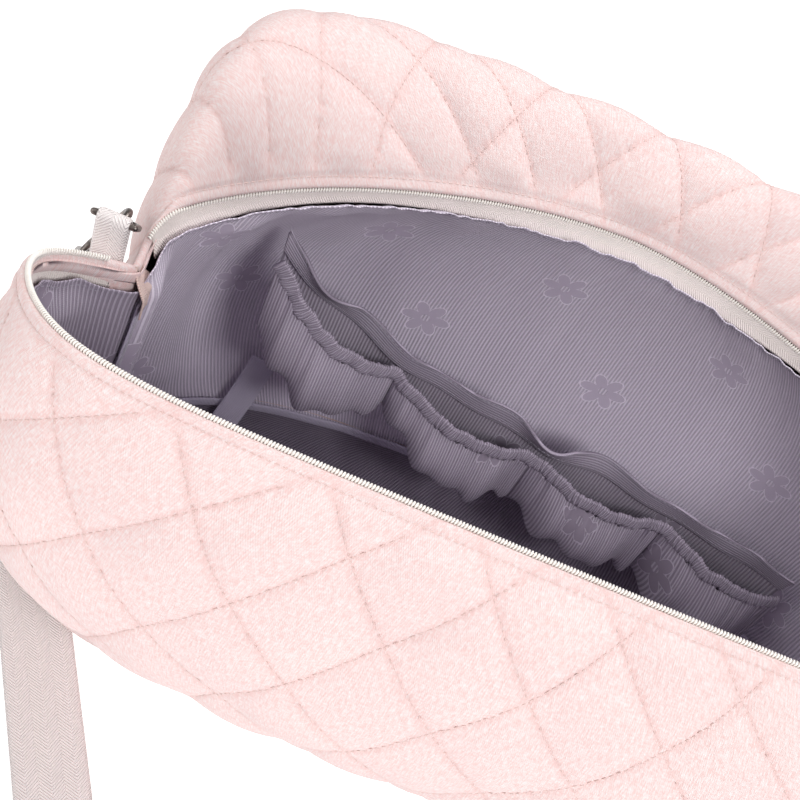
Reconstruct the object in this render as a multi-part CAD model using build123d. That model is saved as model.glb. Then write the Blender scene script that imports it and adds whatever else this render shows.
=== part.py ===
from build123d import *
import os
from math import cos, exp, pi, radians, sin

# Quilted baby changing bag, standing open along its zip.  Millimetres.
# The origin is on the floor under the middle of the zip.  +X runs along the
# bag, -Y is the front panel and +Z is up.  Outlines are given by their polar
# angle about the Z axis: 0 is the left side seam and 180 degrees the right one.

# ---- driving dimensions -------------------------------------------------
SEAM_HEIGHT = 50.0           # top of the base tub, where the panels are sewn on
FOOT_INSET = 33.0            # how far the flat foot lies inside the seam outline
FOOT_ROUND = 30.0            # height over which the base edge rounds up
BASE = {                     # half length, half depth and squareness of the base seam
    "front": (222.0, 81.0, 3.85),
    "back": (222.0, 112.0, 2.55),
}

PINCH_X = 204.0              # where the two zip lips meet at each end
PINCH_Z = 210.0
LIP = {                      # half length, half width, two squarenesses, height, rise, notch
    "front": (240.0, 103.0, 7.9, 2.1, 258.0, 0.70, 0.10),
    "back": (215.0, 93.5, 1.68, 1.42, 257.0, 0.87, 0.06),
}
PULL = {                     # point that swells a wall: half length, half width, squareness, height, blend
    "front": (260.0, 157.0, 3.6, 188.0, 0.14),
    "back": (236.0, 163.0, 7.0, 384.0, 0.22),
    "inner": (212.0, 126.0, 4.0, 178.0, 0.22),
}
SEAM_DIP = 4.4               # the slanting panels reach this far below the seam inside
SIDE_PULL_X = 207.0          # the same point on the side seam
SIDE_PULL_Z = 189.0
LOW_PULL = 0.82              # how far the lower pull point lies towards the upper one
LOW_RISE = 0.35

QUILT = 5.5                  # quilted outer cloth with its wadding
LINING = 1.0
TUB_WALL = 5.0
BOARD = 3.0
GAP = 0.3                    # clear space between neighbouring layers

COIL_WIDTH = 2.6
COIL_THICK = 2.4
LIP_EDGE = 3.0               # the cloth stops this far below the coil line
TAPE_THICK = 0.8
TAPE_WIDTH = 14.0
TAPE_LAP = 3.0               # the lining covers this much of the tape
TAPE_DEPTH = QUILT + 0.2
LINING_DEPTH = TAPE_DEPTH + TAPE_THICK + GAP
COIL_END = 4.0               # degrees short of the side seam
TAPE_END = 9.0
END_TAB = (16.0, 20.0)       # width and height of the facing over each zip end
BINDING = (6.0, 1.6)

TAB_WIDTH = 14.0             # webbing tab that holds the ring
TAB_CENTRE_X = 215.5
TAB_LOW_Z = 186.0
TAB_FOLD_Z = 229.0
WEB = 1.8                    # webbing thickness
RING_WIRE = 3.0
RING_FIT = 0.08
RING_LEG = 7.5
RING_WIDTH = 18.0
RING_LEAN = 40.0             # the ring leans back this far below level
HOOK_WIRE = 3.6
HOOK_INNER = 4.6
HOOK_SPINE = 26.0
HOOK_TILT = 26.0             # the hook leans outwards, clear of the end wall
HOOK_SLACK = 0.6
SHANK = 5.0
SHANK_FIT = 0.12
PIN = 1.6
PIN_FIT = 0.05
CHEEK = 1.2
GATE_THICK = 2.2
EYE_WIRE = 4.0
EYE_DROP = 20.0
EYE_SHOULDER = 12.0          # the eye's arms slope down this far before its upright sides
EYE_OUT = 4.0                # the bar stands this far out from the swivel, clear of the bag
STRAP_WIDTH = 36.0

HOOK_NOSE = 1.5              # the bow comes down this far towards the gate
GATE_GAP = 0.2
GATE_CLEAR = 0.4             # between the gate's free end and the nose
BARREL = 2.3                 # radius of the gate's hinge barrel
LUG = 2.6
SHANK_LONG = 10.0
FLANGE = (1.2, 2.0)          # how far the flange stands out from the shank, and its height
COLLAR = (2.4, 7.4)          # wall and height of the swivel collar
COLLAR_DROP = 2.2
ARM_START = (4.5, 1.5)       # where the eye's arms leave the collar, across and up

SLIDER = (10.0, 9.0, 6.5)
SLIDER_X = 192.5
SLIDER_Z = 211.5
CHANNEL = (7.0, 2.6)         # width and height of the slot that the coils run through
WEDGE = 2.0
PULL_EAR = (2.2, 3.4, 1.6, 1.2)   # inner and outer half spread, radius, reach past the body
PULL_PIN = 0.8
PULL_TAB = (24.0, 7.0, 1.4)
PULL_NECK = (1.9, 7.0)       # half width and length of the neck of the pull
PULL_HUB = 1.5
PULL_HOLE = (1.8, 5.0)       # radius, and distance from the lower end

POCKET_CLOTH = 1.6
POCKET_EDGES = [-150.0, -74.0, 14.0, 96.0, 165.0]
POCKET_FLOOR_Z = 58.0
POCKET_BACK_Y = 92.0
POCKET_CORNER = 26.0         # the pocket unit turns this far forward at its ends
CASING = (9.0, 4.0)
BAND_WIDTH = 15.0

STRAP_HEADING = Vector(0.5, -0.866, 0)
STRAP_LANDING = Vector(-234.0, 6.0, 0)
STRAP_RUN = 208.0            # floor stretch from the landing to the front fold
ADJUSTER_X = 40.0

STATIONS = [0, 1.5, 3, 5, 7.5, 10.5, 14, 18, 22.5, 28, 35, 44, 56, 72]


# ---- shape of the bag ---------------------------------------------------
def outward(side, angle):
    """Level direction from the Z axis at a polar angle."""
    return Vector(-cos(angle), (-1 if side == "front" else 1) * sin(angle), 0)


def outline(angle, length, width, along, across):
    """Radius of a rounded rectangle at a polar angle."""
    c = abs(cos(angle)) / length
    s = abs(sin(angle)) / width
    low = 0.0
    high = 2 * (length + width)
    for _ in range(50):
        middle = (low + high) / 2
        if (middle * c) ** along + (middle * s) ** across < 1:
            low = middle
        else:
            high = middle
    return middle


def base_point(side, angle, inset=0.0, height=SEAM_HEIGHT):
    length, width, square = BASE[side]
    radius = outline(angle, length - inset, width - inset, square, square)
    return outward(side, angle) * radius + Vector(0, 0, height)


def lip_point(side, angle, inset=0.0):
    """Point on the zip line, drawn in to a pinch at both ends."""
    length, width, along, across, height, rise, notch = LIP[side]
    s = abs(sin(angle))
    drawn = (1 - PINCH_X / length) * exp(-((s / notch) ** 2))
    radius = outline(angle, length, width, along, across) * (1 - drawn)
    z = PINCH_Z + (height - PINCH_Z) * min(radius * s / width, 1.0) ** rise
    return outward(side, angle) * (radius - inset) + Vector(0, 0, z)


def wall(side, angle, v, inner=False):
    """Wall surface: v is 0 on the base seam and 1 on the zip line."""
    length, width, square, height, blend = PULL["inner" if inner else side]
    inset = LINING_DEPTH if inner else 0.0
    near_seam = exp(-((sin(angle) / blend) ** 2))
    radius = outline(angle, length, width, square, square) * (1 - near_seam)
    radius += (SIDE_PULL_X - inset) * near_seam
    height = height * (1 - near_seam) + SIDE_PULL_Z * near_seam
    base = base_point(side, angle, inset)
    pull = outward(side, angle) * radius + Vector(0, 0, height)
    low = base * (1 - LOW_PULL) + pull * LOW_PULL
    low = Vector(low.X, low.Y, SEAM_HEIGHT + (height - SEAM_HEIGHT) * LOW_RISE)
    u = 1 - v
    top = lip_point(side, angle, inset)
    return base * u**3 + low * (3 * u * u * v) + pull * (3 * u * v * v) + top * v**3


def on_seam(angle):
    return abs(sin(angle)) < 1e-6


def under(side, angle, v, depth, inner=False):
    """Point at a depth under a wall surface."""
    step = 1e-3
    point = wall(side, angle, v, inner)
    up = (wall(side, angle, v + step, inner) - wall(side, angle, v - step, inner)).normalized()
    if on_seam(angle):
        hand = 1 if cos(angle) > 0 else -1
        result = point - Vector(-hand * up.Z, 0, hand * up.X) * depth
        return Vector(result.X, 0, result.Z)
    along = wall(side, angle + step, v, inner) - wall(side, angle - step, v, inner)
    normal = along.cross(up) if side == "front" else up.cross(along)
    return point - normal.normalized() * depth


def v_below_lip(side, angle, distance, inner=False):
    """Height parameter at a distance measured down the wall from the zip line."""
    step = 0.004
    v = 1.0
    walked = 0.0
    here = wall(side, angle, v, inner)
    while walked < distance:
        v -= step
        there = wall(side, angle, v, inner)
        walked += (there - here).length
        here = there
    return v


def angles(first=0.0):
    """Polar angles from one side seam to the other, closer together at the ends."""
    left = [first] + [a for a in STATIONS if a > first + 1]
    return [radians(a) for a in left] + [pi / 2] + [radians(180 - a) for a in reversed(left)]


# ---- solids from sections -----------------------------------------------
def wall_solid(side, below_lip, outer, thick, inner=False, rows=8):
    """Closed skin from the base seam to a line below the zip line."""
    wires = []
    for angle in angles():
        top = v_below_lip(side, angle, below_lip, inner)
        levels = [top * i / rows for i in range(rows + 1)]
        out_line = [under(side, angle, v, outer, inner) for v in levels]
        in_line = [under(side, angle, v, outer + thick, inner) for v in reversed(levels)]
        wires.append(Wire([
            Spline(out_line).edge(),
            Line(out_line[-1], in_line[0]).edge(),
            Spline(in_line).edge(),
            Line(in_line[-1], out_line[0]).edge(),
        ]))
    return Solid.make_loft(wires)


def quad_loft(quads):
    """Faceted solid through flat four-cornered sections."""
    faces = []

    def triangle(*corners):
        faces.append(Face(Wire.make_polygon(corners, close=True)))

    for here, there in zip(quads, quads[1:]):
        for i in range(4):
            j = (i + 1) % 4
            triangle(here[i], there[i], there[j])
            triangle(here[i], there[j], here[j])
    for end in (quads[0], quads[-1]):
        triangle(end[0], end[1], end[2])
        triangle(end[0], end[2], end[3])
    return Solid(Shell(faces))


def lip_strip(side, first, near, far, outer, inner):
    """Upright strip that follows the zip line, from 'near' to 'far' below it."""
    quads = []
    for angle in angles(first):
        corners = ((near, outer), (far, outer), (far, inner), (near, inner))
        quads.append([lip_point(side, angle, inset) - Vector(0, 0, drop) for drop, inset in corners])
    return quad_loft(quads)


def seam_strip(side, drop, height, outer, inner):
    """Upright strip inside the wall just above the base seam."""
    quads = []
    for angle in angles(3.0):
        corners = ((drop + height, outer), (drop, outer), (drop, inner), (drop + height, inner))
        quads.append([base_point(side, angle, inset, SEAM_HEIGHT + lift) for lift, inset in corners])
    return quad_loft(quads)


def outline_wire(inset, height):
    steps = 20
    points = [base_point("back", pi * k / steps, inset, height) for k in range(steps)]
    points += [base_point("front", pi - pi * k / steps, inset, height) for k in range(steps)]
    return Wire([Spline(points, periodic=True).edge()])


def tub(levels):
    """Solid through base outlines given as (inset, height)."""
    return Solid.make_loft([outline_wire(inset, height) for inset, height in levels], len(levels) == 2)


def ribbon(points, across_list, width, thick):
    """Flat webbing along a path; each section has its own direction across."""
    quads = []
    for i, point in enumerate(points):
        along = (points[min(i + 1, len(points) - 1)] - points[max(i - 1, 0)]).normalized()
        across = across_list[i] - along * across_list[i].dot(along)
        across = across.normalized() * (width / 2)
        face = along.cross(across).normalized() * (thick / 2)
        quads.append([point + across + face, point - across + face,
                      point - across - face, point + across - face])
    return quad_loft(quads)


def rod(start, end, radius):
    """Round bar between two points."""
    start = Vector(*start)
    end = Vector(*end)
    return Solid.make_cylinder(radius, (end - start).length, Plane(origin=start, z_dir=end - start))


def block(low, high):
    """Box between two corners."""
    size = [b - a for a, b in zip(low, high)]
    return Solid.make_box(*size, Plane(origin=tuple(low)))


def mirrored(shape):
    return shape.mirror(Plane.YZ)


def pair(name, shape):
    """The same piece at the left end and, mirrored, at the right end."""
    return {f"left_{name}": shape, f"right_{name}": mirrored(shape)}


# ---- shell, lining and base -----------------------------------------------
def make_shell():
    nodes = {}
    for side in ("front", "back"):
        nodes[f"{side}_panel"] = wall_solid(side, LIP_EDGE, 0.0, QUILT)
        inner = side == "back"
        depth = 0.0 if inner else LINING_DEPTH
        nodes[f"{side}_lining"] = wall_solid(side, TAPE_WIDTH - TAPE_LAP, depth, LINING, inner)
        nodes[f"{side}_zip_coil"] = lip_strip(side, COIL_END, 0.0, COIL_WIDTH, QUILT - COIL_THICK, QUILT)
        nodes[f"{side}_zip_tape"] = lip_strip(side, TAPE_END, LIP_EDGE, TAPE_WIDTH, TAPE_DEPTH, TAPE_DEPTH + TAPE_THICK)
        depth = LINING_DEPTH + LINING + 5 * GAP
        nodes[f"{side}_base_binding"] = seam_strip(side, 1.0, BINDING[0], depth, depth + BINDING[1])
    return nodes


def make_base():
    foot = [(FOOT_INSET, 0.0), (FOOT_INSET * 0.8, FOOT_ROUND * 0.12), (FOOT_INSET * 0.45, FOOT_ROUND * 0.32),
            (FOOT_INSET * 0.16, FOOT_ROUND * 0.62), (0.0, FOOT_ROUND), (0.0, SEAM_HEIGHT - SEAM_DIP)]
    hollow = [(inset + TUB_WALL, height + TUB_WALL) for inset, height in foot[:-1]] + [(TUB_WALL, SEAM_HEIGHT + 1)]
    board_low = TUB_WALL + GAP
    lining_low = board_low + BOARD + GAP
    board_inset = FOOT_INSET + TUB_WALL + 3
    skirt = [(inset + LINING_DEPTH, height + lining_low) for inset, height in foot[:-1]]
    inner = [(inset + LINING, height + LINING) for inset, height in skirt]
    skirt_top = SEAM_HEIGHT - SEAM_DIP - 2
    lining = tub(skirt + [(LINING_DEPTH, skirt_top)])
    lining -= tub(inner + [(LINING_DEPTH + LINING, skirt_top + 1)])
    return {
        "base_tub": tub(foot) - tub(hollow),
        "base_board": tub([(board_inset, board_low), (board_inset, board_low + BOARD)]),
        "base_lining": lining,
    }


def make_end_trim():
    """Zip-end facings and the bound side seams of the lining."""
    width, height = END_TAB
    depth = PINCH_X - LINING_DEPTH - LINING - 2 * GAP
    top = PINCH_Z - LIP_EDGE
    facing = block((-depth, -width / 2, top - height), (-depth + TAPE_THICK, width / 2, top))
    levels = [0.15 + 0.62 * i / 6 for i in range(7)]
    spine = [wall("back", 0.0, v, True) for v in levels]
    quads = []
    for point in spine:
        x = point.X + LINING + GAP
        quads.append([Vector(x, -BINDING[1] / 2, point.Z), Vector(x + BINDING[0], -BINDING[1] / 2, point.Z),
                      Vector(x + BINDING[0], BINDING[1] / 2, point.Z), Vector(x, BINDING[1] / 2, point.Z)])
    nodes = pair("zip_end_facing", facing)
    nodes.update(pair("side_binding", quad_loft(quads)))
    return nodes


# ---- zip slider -----------------------------------------------------------
def make_slider():
    length, width, height = SLIDER
    ear_in, ear_out, ear, reach = PULL_EAR
    front = SLIDER_X - length / 2
    end = SLIDER_X + length / 2
    low = SLIDER_Z - height / 2
    pivot_x = front - ear_in
    pivot_z = SLIDER_Z + 0.5
    half, tall = CHANNEL[0] / 2, CHANNEL[1] / 2
    body = block((front, -width / 2, low), (end, width / 2, low + height))
    body -= block((front - 1, -half, SLIDER_Z - tall), (end + 1, half, SLIDER_Z + tall))
    body += block((SLIDER_X + 1, -WEDGE / 2, SLIDER_Z - tall - 0.1), (end, WEDGE / 2, SLIDER_Z + tall + 0.1))
    for hand in (-1, 1):
        sides = sorted((hand * ear_in, hand * ear_out))
        body += block((pivot_x - ear, sides[0], pivot_z - ear), (front + reach / 2, sides[1], pivot_z + ear))
    body += rod((pivot_x, -ear_out, pivot_z), (pivot_x, ear_out, pivot_z), PULL_PIN)
    long, wide, thick = PULL_TAB
    neck, neck_long = PULL_NECK
    hole, hole_up = PULL_HOLE
    low = pivot_z - long
    tongue = block((pivot_x - thick / 2, -neck, pivot_z - neck_long), (pivot_x + thick / 2, neck, pivot_z))
    tongue += rod((pivot_x, -neck, pivot_z), (pivot_x, neck, pivot_z), PULL_HUB)
    tongue += block((pivot_x - thick / 2, -wide / 2, low), (pivot_x + thick / 2, wide / 2, pivot_z - neck_long + 1))
    tongue -= rod((pivot_x, -wide, pivot_z), (pivot_x, wide, pivot_z), PULL_PIN + PIN_FIT)
    tongue -= rod((pivot_x - thick, 0, low + hole_up), (pivot_x + thick, 0, low + hole_up), hole)
    return {"zip_slider": body, "zip_pull": tongue}, Vector(pivot_x, 0, pivot_z)


# ---- ring, hook and shoulder strap ----------------------------------------
def make_ring_tab():
    bore = RING_WIRE / 2 + RING_FIT
    outer = bore + WEB
    left = -TAB_CENTRE_X - TAB_WIDTH / 2
    right = left + TAB_WIDTH
    profile = Polyline((left, -outer, TAB_FOLD_Z), (left, -WEB, TAB_LOW_Z), (left, WEB, TAB_LOW_Z),
                       (left, outer, TAB_FOLD_Z), close=True)
    tab = Solid.extrude(Face(Wire(profile.edges())), Vector(TAB_WIDTH, 0, 0))
    tab += rod((left, 0, TAB_FOLD_Z), (right, 0, TAB_FOLD_Z), outer)
    return tab - rod((left - 1, 0, TAB_FOLD_Z), (right + 1, 0, TAB_FOLD_Z), bore)


def make_d_ring():
    """D of round wire, its straight bar along X, leaning back from the tab."""
    radius = RING_WIRE / 2
    half = RING_WIDTH / 2
    ring = rod((-half, 0, 0), (half, 0, 0), radius)
    for hand in (-1, 1):
        ring += Solid.make_sphere(radius, Plane(origin=(hand * half, 0, 0)), angle1=-90)
        ring += rod((hand * half, 0, 0), (hand * half, RING_LEG, 0), radius)
    bow = Solid.make_torus(half, radius, Plane(origin=(0, RING_LEG, 0)))
    ring += bow & block((-RING_WIDTH, RING_LEG, -RING_WIRE), (RING_WIDTH, RING_LEG + RING_WIDTH, RING_WIRE))
    return ring.rotate(Axis.X, -RING_LEAN).moved(Location((-TAB_CENTRE_X, 0, TAB_FOLD_Z)))


def ring_tip():
    reach = RING_LEG + RING_WIDTH / 2
    lean = radians(RING_LEAN)
    return Vector(-TAB_CENTRE_X, reach * cos(lean), TAB_FOLD_Z - reach * sin(lean))


def hook_place():
    """Hook frame: its origin is the middle of the hook's top bend."""
    tip = ring_tip()
    drop = HOOK_INNER - RING_WIRE / 2 - HOOK_SLACK
    tilt = radians(HOOK_TILT)
    origin = tip + Vector(-sin(tilt) * drop, 0, -cos(tilt) * drop)
    return Location((origin.X, origin.Y, origin.Z), (0, HOOK_TILT, 0))


def make_hook():
    """Swivel hook in its own frame: bow in the YZ plane, shank down."""
    radius = HOOK_WIRE / 2
    bend = HOOK_INNER + radius
    low = -HOOK_SPINE
    wide = HOOK_WIRE + 1
    tall = 2 * bend + HOOK_WIRE
    top = Solid.make_torus(bend, radius, Plane(origin=(0, 0, 0), z_dir=(1, 0, 0)))
    top = top & block((-wide, -tall, 0), (wide, tall, tall))
    body = top + rod((0, bend, 0), (0, bend, low), radius)
    foot = Solid.make_torus(bend, radius, Plane(origin=(0, 0, low), z_dir=(1, 0, 0)))
    body += foot & block((-wide, -tall, low - tall), (wide, tall, low))
    body += rod((0, -bend, 0), (0, -bend, -HOOK_NOSE), radius)
    slot = GATE_THICK / 2 + GATE_GAP
    for hand in (-1, 1):
        body += rod((hand * slot, -bend, low), (hand * (slot + CHEEK), -bend, low), LUG)
    body -= block((-slot, -bend - LUG - 0.6, low - LUG - 0.6), (slot, -bend + LUG + 0.6, low + 4))
    body += rod((-slot - 0.7, -bend, low), (slot + 0.7, -bend, low), PIN / 2)
    shank_top = low - bend
    shank_low = shank_top - SHANK_LONG
    body += rod((0, 0, shank_top), (0, 0, shank_low), SHANK / 2)
    body += rod((0, 0, shank_low), (0, 0, shank_low - FLANGE[1]), SHANK / 2 + FLANGE[0])
    half = GATE_THICK / 2
    gate = block((-half, -bend - half - 0.1, low), (half, -bend + half + 0.1, -HOOK_NOSE - GATE_CLEAR))
    gate += rod((-half, -bend, low), (half, -bend, low), BARREL)
    gate -= rod((-GATE_THICK, -bend, low), (GATE_THICK, -bend, low), PIN / 2 + PIN_FIT)
    collar_top = shank_top - COLLAR_DROP
    collar_low = collar_top - COLLAR[1]
    collar = rod((0, 0, collar_top), (0, 0, collar_low), SHANK / 2 + COLLAR[0])
    collar -= rod((0, 0, collar_top + 1), (0, 0, collar_low - 1), SHANK / 2 + SHANK_FIT)
    eye_top = (collar_top + collar_low) / 2
    return {"hook": body, "hook_gate": gate}, collar, low, bend, eye_top


def make_eye(collar, centre):
    """Swivel eye: a collar round the hook's shank and a level loop for the strap."""
    wire = EYE_WIRE / 2
    half = STRAP_WIDTH / 2 + 1.5 + wire
    bar = Vector(centre.X - EYE_OUT, centre.Y, centre.Z - EYE_DROP)
    eye = collar
    for hand in (-1, 1):
        corner = bar + Vector(0, hand * half, 0)
        shoulder = Vector(bar.X, corner.Y, centre.Z - EYE_SHOULDER)
        start = centre + Vector(0, hand * ARM_START[0], ARM_START[1])
        for low_point, high_point in ((start, shoulder), (shoulder, corner)):
            eye += rod(low_point, high_point, wire)
            eye += Solid.make_sphere(wire, Plane(origin=high_point), angle1=-90)
    eye += rod(bar - Vector(0, half, 0), bar + Vector(0, half, 0), wire)
    return eye, bar


# ---- pockets, bottle band --------------------------------------------------
def pocket_top(x):
    """Height of the gathered edge: high at the ends and slack between them."""
    return 111 + 104 * exp(-(x + 160) / 66) + 60 * exp(-(205 - x) / 14)


def pocket_back_y(x):
    """Depth of the pocket unit's back: it turns forward towards the ends."""
    middle = (POCKET_EDGES[0] + POCKET_EDGES[-1]) / 2
    half = (POCKET_EDGES[-1] - POCKET_EDGES[0]) / 2
    return POCKET_BACK_Y - POCKET_CORNER * abs((x - middle) / half) ** 3


def pocket_front_y(x):
    """Depth of the gathered edge: it is stitched back between compartments."""
    for left, right in zip(POCKET_EDGES, POCKET_EDGES[1:]):
        if left <= x <= right:
            break
    return pocket_back_y(x) - 13 - 14 * sin(pi * (x - left) / (right - left))


def sheet_solid(stations, thick):
    """Upright cloth through sections given as (x, [(y, z), ...]) from the bottom to the top."""
    count = len(stations[0][1])
    parts = []
    for k in range(count - 1):
        quads = []
        for x, line in stations:
            (y0, z0), (y1, z1) = line[k], line[k + 1]
            quads.append([Vector(x, y0, z0), Vector(x, y1, z1),
                          Vector(x, y1 + thick, z1), Vector(x, y0 + thick, z0)])
        parts.append(quad_loft(quads))
    result = parts[0]
    for part in parts[1:]:
        result += part
    return result


def spread(low, high, count):
    return [low + (high - low) * i / (count - 1) for i in range(count)]


def make_pockets():
    left_end = POCKET_EDGES[0]
    right_end = POCKET_EDGES[-1]
    back_line = []
    hem_line = []
    for x in spread(left_end, right_end, 14):
        y = pocket_back_y(x)
        top = pocket_top(x)
        back_line.append((x, [(y, POCKET_FLOOR_Z), (y - 4, top - 2)]))
        hem_line.append((x, [(y - 4.6, top - 1.8), (y - 5.6, top + 10)]))
    casing = []
    for x in spread(left_end, right_end, 22):
        y = pocket_front_y(x) - 1.0
        top = pocket_top(x)
        casing.append((x, [(y, top + 0.3 - CASING[0]), (y, top)]))
    nodes = {
        "pocket_back_layer": sheet_solid(back_line, POCKET_CLOTH),
        "pocket_hem": sheet_solid(hem_line, 2 * POCKET_CLOTH),
        "elastic_casing": sheet_solid(casing, CASING[1]),
    }
    for number, (left, right) in enumerate(zip(POCKET_EDGES, POCKET_EDGES[1:]), start=1):
        lines = []
        for x in spread(left + 0.4, right - 0.4, 7):
            bulge = sin(pi * (x - left) / (right - left))
            front = pocket_front_y(x)
            floor = POCKET_FLOOR_Z + 4
            lines.append((x, [(pocket_back_y(x) - 4, floor), (front - 6 * bulge, floor + 6),
                              (front - 9 * bulge, floor + 20), (front, pocket_top(x) - CASING[0] - 0.2)]))
        nodes[f"elastic_pocket_{number}"] = sheet_solid(lines, POCKET_CLOTH)
    return nodes


def make_bottle_band():
    route = [(-141, 88, 92), (-144, 84, 74), (-148, 77, 56), (-153, 64, 40), (-159, 44, 29), (-164, 20, 24),
             (-166, -8, 24), (-160, -34, 31), (-152, -50, 42)]
    points = [Vector(*p) for p in route]
    across = [Vector(1, 0.2, 0.15) for _ in points]
    return ribbon(points, across, BAND_WIDTH, 1.2)


def strap_route(top):
    """Left half of the shoulder strap, from the hook's eye to the front fold."""
    floor = WEB / 2 + 0.1
    heading = STRAP_HEADING
    side_on = Vector(-heading.Y, heading.X, 0)
    landing = STRAP_LANDING + Vector(0, 0, floor)
    fold = landing + heading * STRAP_RUN
    points = [top, top + Vector(-1, 0, -20), top + Vector(-3, 0, -60), top + Vector(-4, 0, -90)]
    points += [landing + Vector(-7.5, 6.5, 38), landing + Vector(-7, 5, 21)]
    points += [landing - heading * 1.5 + Vector(-4, 0, 8.5), landing + heading * 4 + Vector(-0.5, 0, 2)]
    points += [landing + heading * 11, landing + heading * (STRAP_RUN / 2), fold]
    turn = [0.0, 0.1, 0.35, 0.7, 0.95, 1.0] + [1.0] * (len(points) - 6)
    across = [Vector(0, -1, 0) * (1 - t) - side_on * t for t in turn]
    return points, across


def make_strap(bar):
    """Shoulder strap lying in front of the bag, with its sewn end loops."""
    top = bar + Vector(0, 0, -EYE_WIRE / 2 - 0.3 - 2 * WEB)
    points, across = strap_route(top)
    left = ribbon(points, across, STRAP_WIDTH, WEB)
    fold = points[-1]
    low = WEB + 0.1
    half = STRAP_WIDTH / 2
    reach = -fold.X
    crossing = block((-reach - half, fold.Y - half, low), (reach + half, fold.Y + half, low + WEB))
    strap = left + mirrored(left) + crossing
    inner = EYE_WIRE / 2 + 0.25
    start = (bar.X, bar.Y - half, bar.Z)
    end = (bar.X, bar.Y + half, bar.Z)
    loop = rod(start, end, inner + WEB) - rod(start, end, inner)
    return strap, loop, fold, low


def make_adjuster(fold, low):
    """Three-bar slide on the stretch of strap that crosses in front."""
    half = STRAP_WIDTH / 2
    rail = 3.0
    long = 30.0
    x = ADJUSTER_X
    y = fold.Y
    under_low = 0.2
    over = low + WEB + 0.2
    slide = None
    for start in (x - long / 2, x + long / 2 - 4):
        bar = block((start, y - half - 1 - rail, under_low), (start + 4, y + half + 1 + rail, low - 0.2))
        slide = bar if slide is None else slide + bar
    slide += block((x - 2, y - half - 1 - rail, over), (x + 2, y + half + 1 + rail, over + 1.6))
    for hand in (-1, 1):
        edge = y + hand * (half + 1)
        far = edge + hand * rail
        slide += block((x - long / 2, min(edge, far), under_low), (x + long / 2, max(edge, far), over + 1.6))
    return slide


NODES = {}
NODES.update(make_shell())
NODES.update(make_base())
NODES.update(make_end_trim())
slider_parts, pull_pivot = make_slider()
NODES.update(slider_parts)
NODES.update(pair("ring_tab", make_ring_tab()))
NODES.update(pair("d_ring", make_d_ring()))
hook_parts, collar, hook_low, hook_bend, eye_top = make_hook()
for piece, shape in hook_parts.items():
    NODES.update(pair(piece, shape.moved(hook_place())))
eye_centre = (hook_place() * Location((0, 0, eye_top))).position
gate_pin = (hook_place() * Location((0, -hook_bend, hook_low))).position
eye, bar = make_eye(collar.moved(hook_place()), eye_centre)
NODES.update(pair("swivel_eye", eye))
strap, loop, fold, low = make_strap(bar)
NODES["shoulder_strap"] = strap
NODES.update(pair("strap_loop", loop))
NODES["strap_adjuster"] = make_adjuster(fold, low)
NODES.update(make_pockets())
NODES["bottle_band"] = make_bottle_band()

os.makedirs("parts", exist_ok=True)
for name, shape in NODES.items():
    shape = shape if isinstance(shape, Solid) else shape.solid()
    shape.label = name
    export_step(shape, f"parts/{name}.step")
    print(name, round(shape.volume), shape.is_valid)

for label, spot in (("ring tip", ring_tip()), ("gate pin", gate_pin), ("eye", eye_centre), ("eye bar", bar),
                    ("front fold", fold), ("pull pivot", pull_pivot)):
    print(label, [round(c, 3) for c in spot])
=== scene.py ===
import bmesh
import bpy
import numpy as np
from mathutils import Matrix, Vector


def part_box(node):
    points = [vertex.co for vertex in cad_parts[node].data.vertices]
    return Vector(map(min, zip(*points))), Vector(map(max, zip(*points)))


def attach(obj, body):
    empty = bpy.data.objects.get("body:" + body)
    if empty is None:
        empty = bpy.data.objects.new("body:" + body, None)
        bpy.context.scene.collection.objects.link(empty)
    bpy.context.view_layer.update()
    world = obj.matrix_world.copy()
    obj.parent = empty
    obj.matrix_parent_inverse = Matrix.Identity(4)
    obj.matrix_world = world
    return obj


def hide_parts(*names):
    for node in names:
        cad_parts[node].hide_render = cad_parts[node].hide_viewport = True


# Quilted baby changing bag, open along its zip.  Metres, the CAD frame: origin on
# the floor under the middle of the zip, +X along the bag, -Y the front, +Z up.
# Outlines are given by their polar angle about Z: 0 is the left side seam.

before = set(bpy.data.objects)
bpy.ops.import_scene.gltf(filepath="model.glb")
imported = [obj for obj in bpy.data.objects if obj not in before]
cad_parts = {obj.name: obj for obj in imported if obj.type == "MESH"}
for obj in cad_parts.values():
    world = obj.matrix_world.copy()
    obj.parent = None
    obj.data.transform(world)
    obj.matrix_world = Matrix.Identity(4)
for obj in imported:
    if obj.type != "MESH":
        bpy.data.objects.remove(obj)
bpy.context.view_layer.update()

# ---- driving dimensions, as in the CAD part ----------------------------------------
MM = 0.001
SEAM_HEIGHT = 0.050
BASE = {"front": (0.222, 0.081, 3.85), "back": (0.222, 0.112, 2.55)}
PINCH_X = 0.204
PINCH_Z = 0.210
LIP = {
    "front": (0.240, 0.103, 7.9, 2.1, 0.258, 0.70, 0.10),
    "back": (0.215, 0.0935, 1.68, 1.42, 0.257, 0.87, 0.06),
}
PULL = {
    "front": (0.260, 0.157, 3.6, 0.188, 0.14),
    "back": (0.236, 0.163, 7.0, 0.384, 0.22),
    "inner": (0.212, 0.126, 4.0, 0.178, 0.22),
}
SIDE_PULL_X = 0.207
SIDE_PULL_Z = 0.189
LOW_PULL = 0.82
LOW_RISE = 0.35
QUILT = 0.0055
LINING_DEPTH = 0.0068
WEB = 0.0018
POCKET_EDGES = [-0.150, -0.074, 0.014, 0.096, 0.165]

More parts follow.
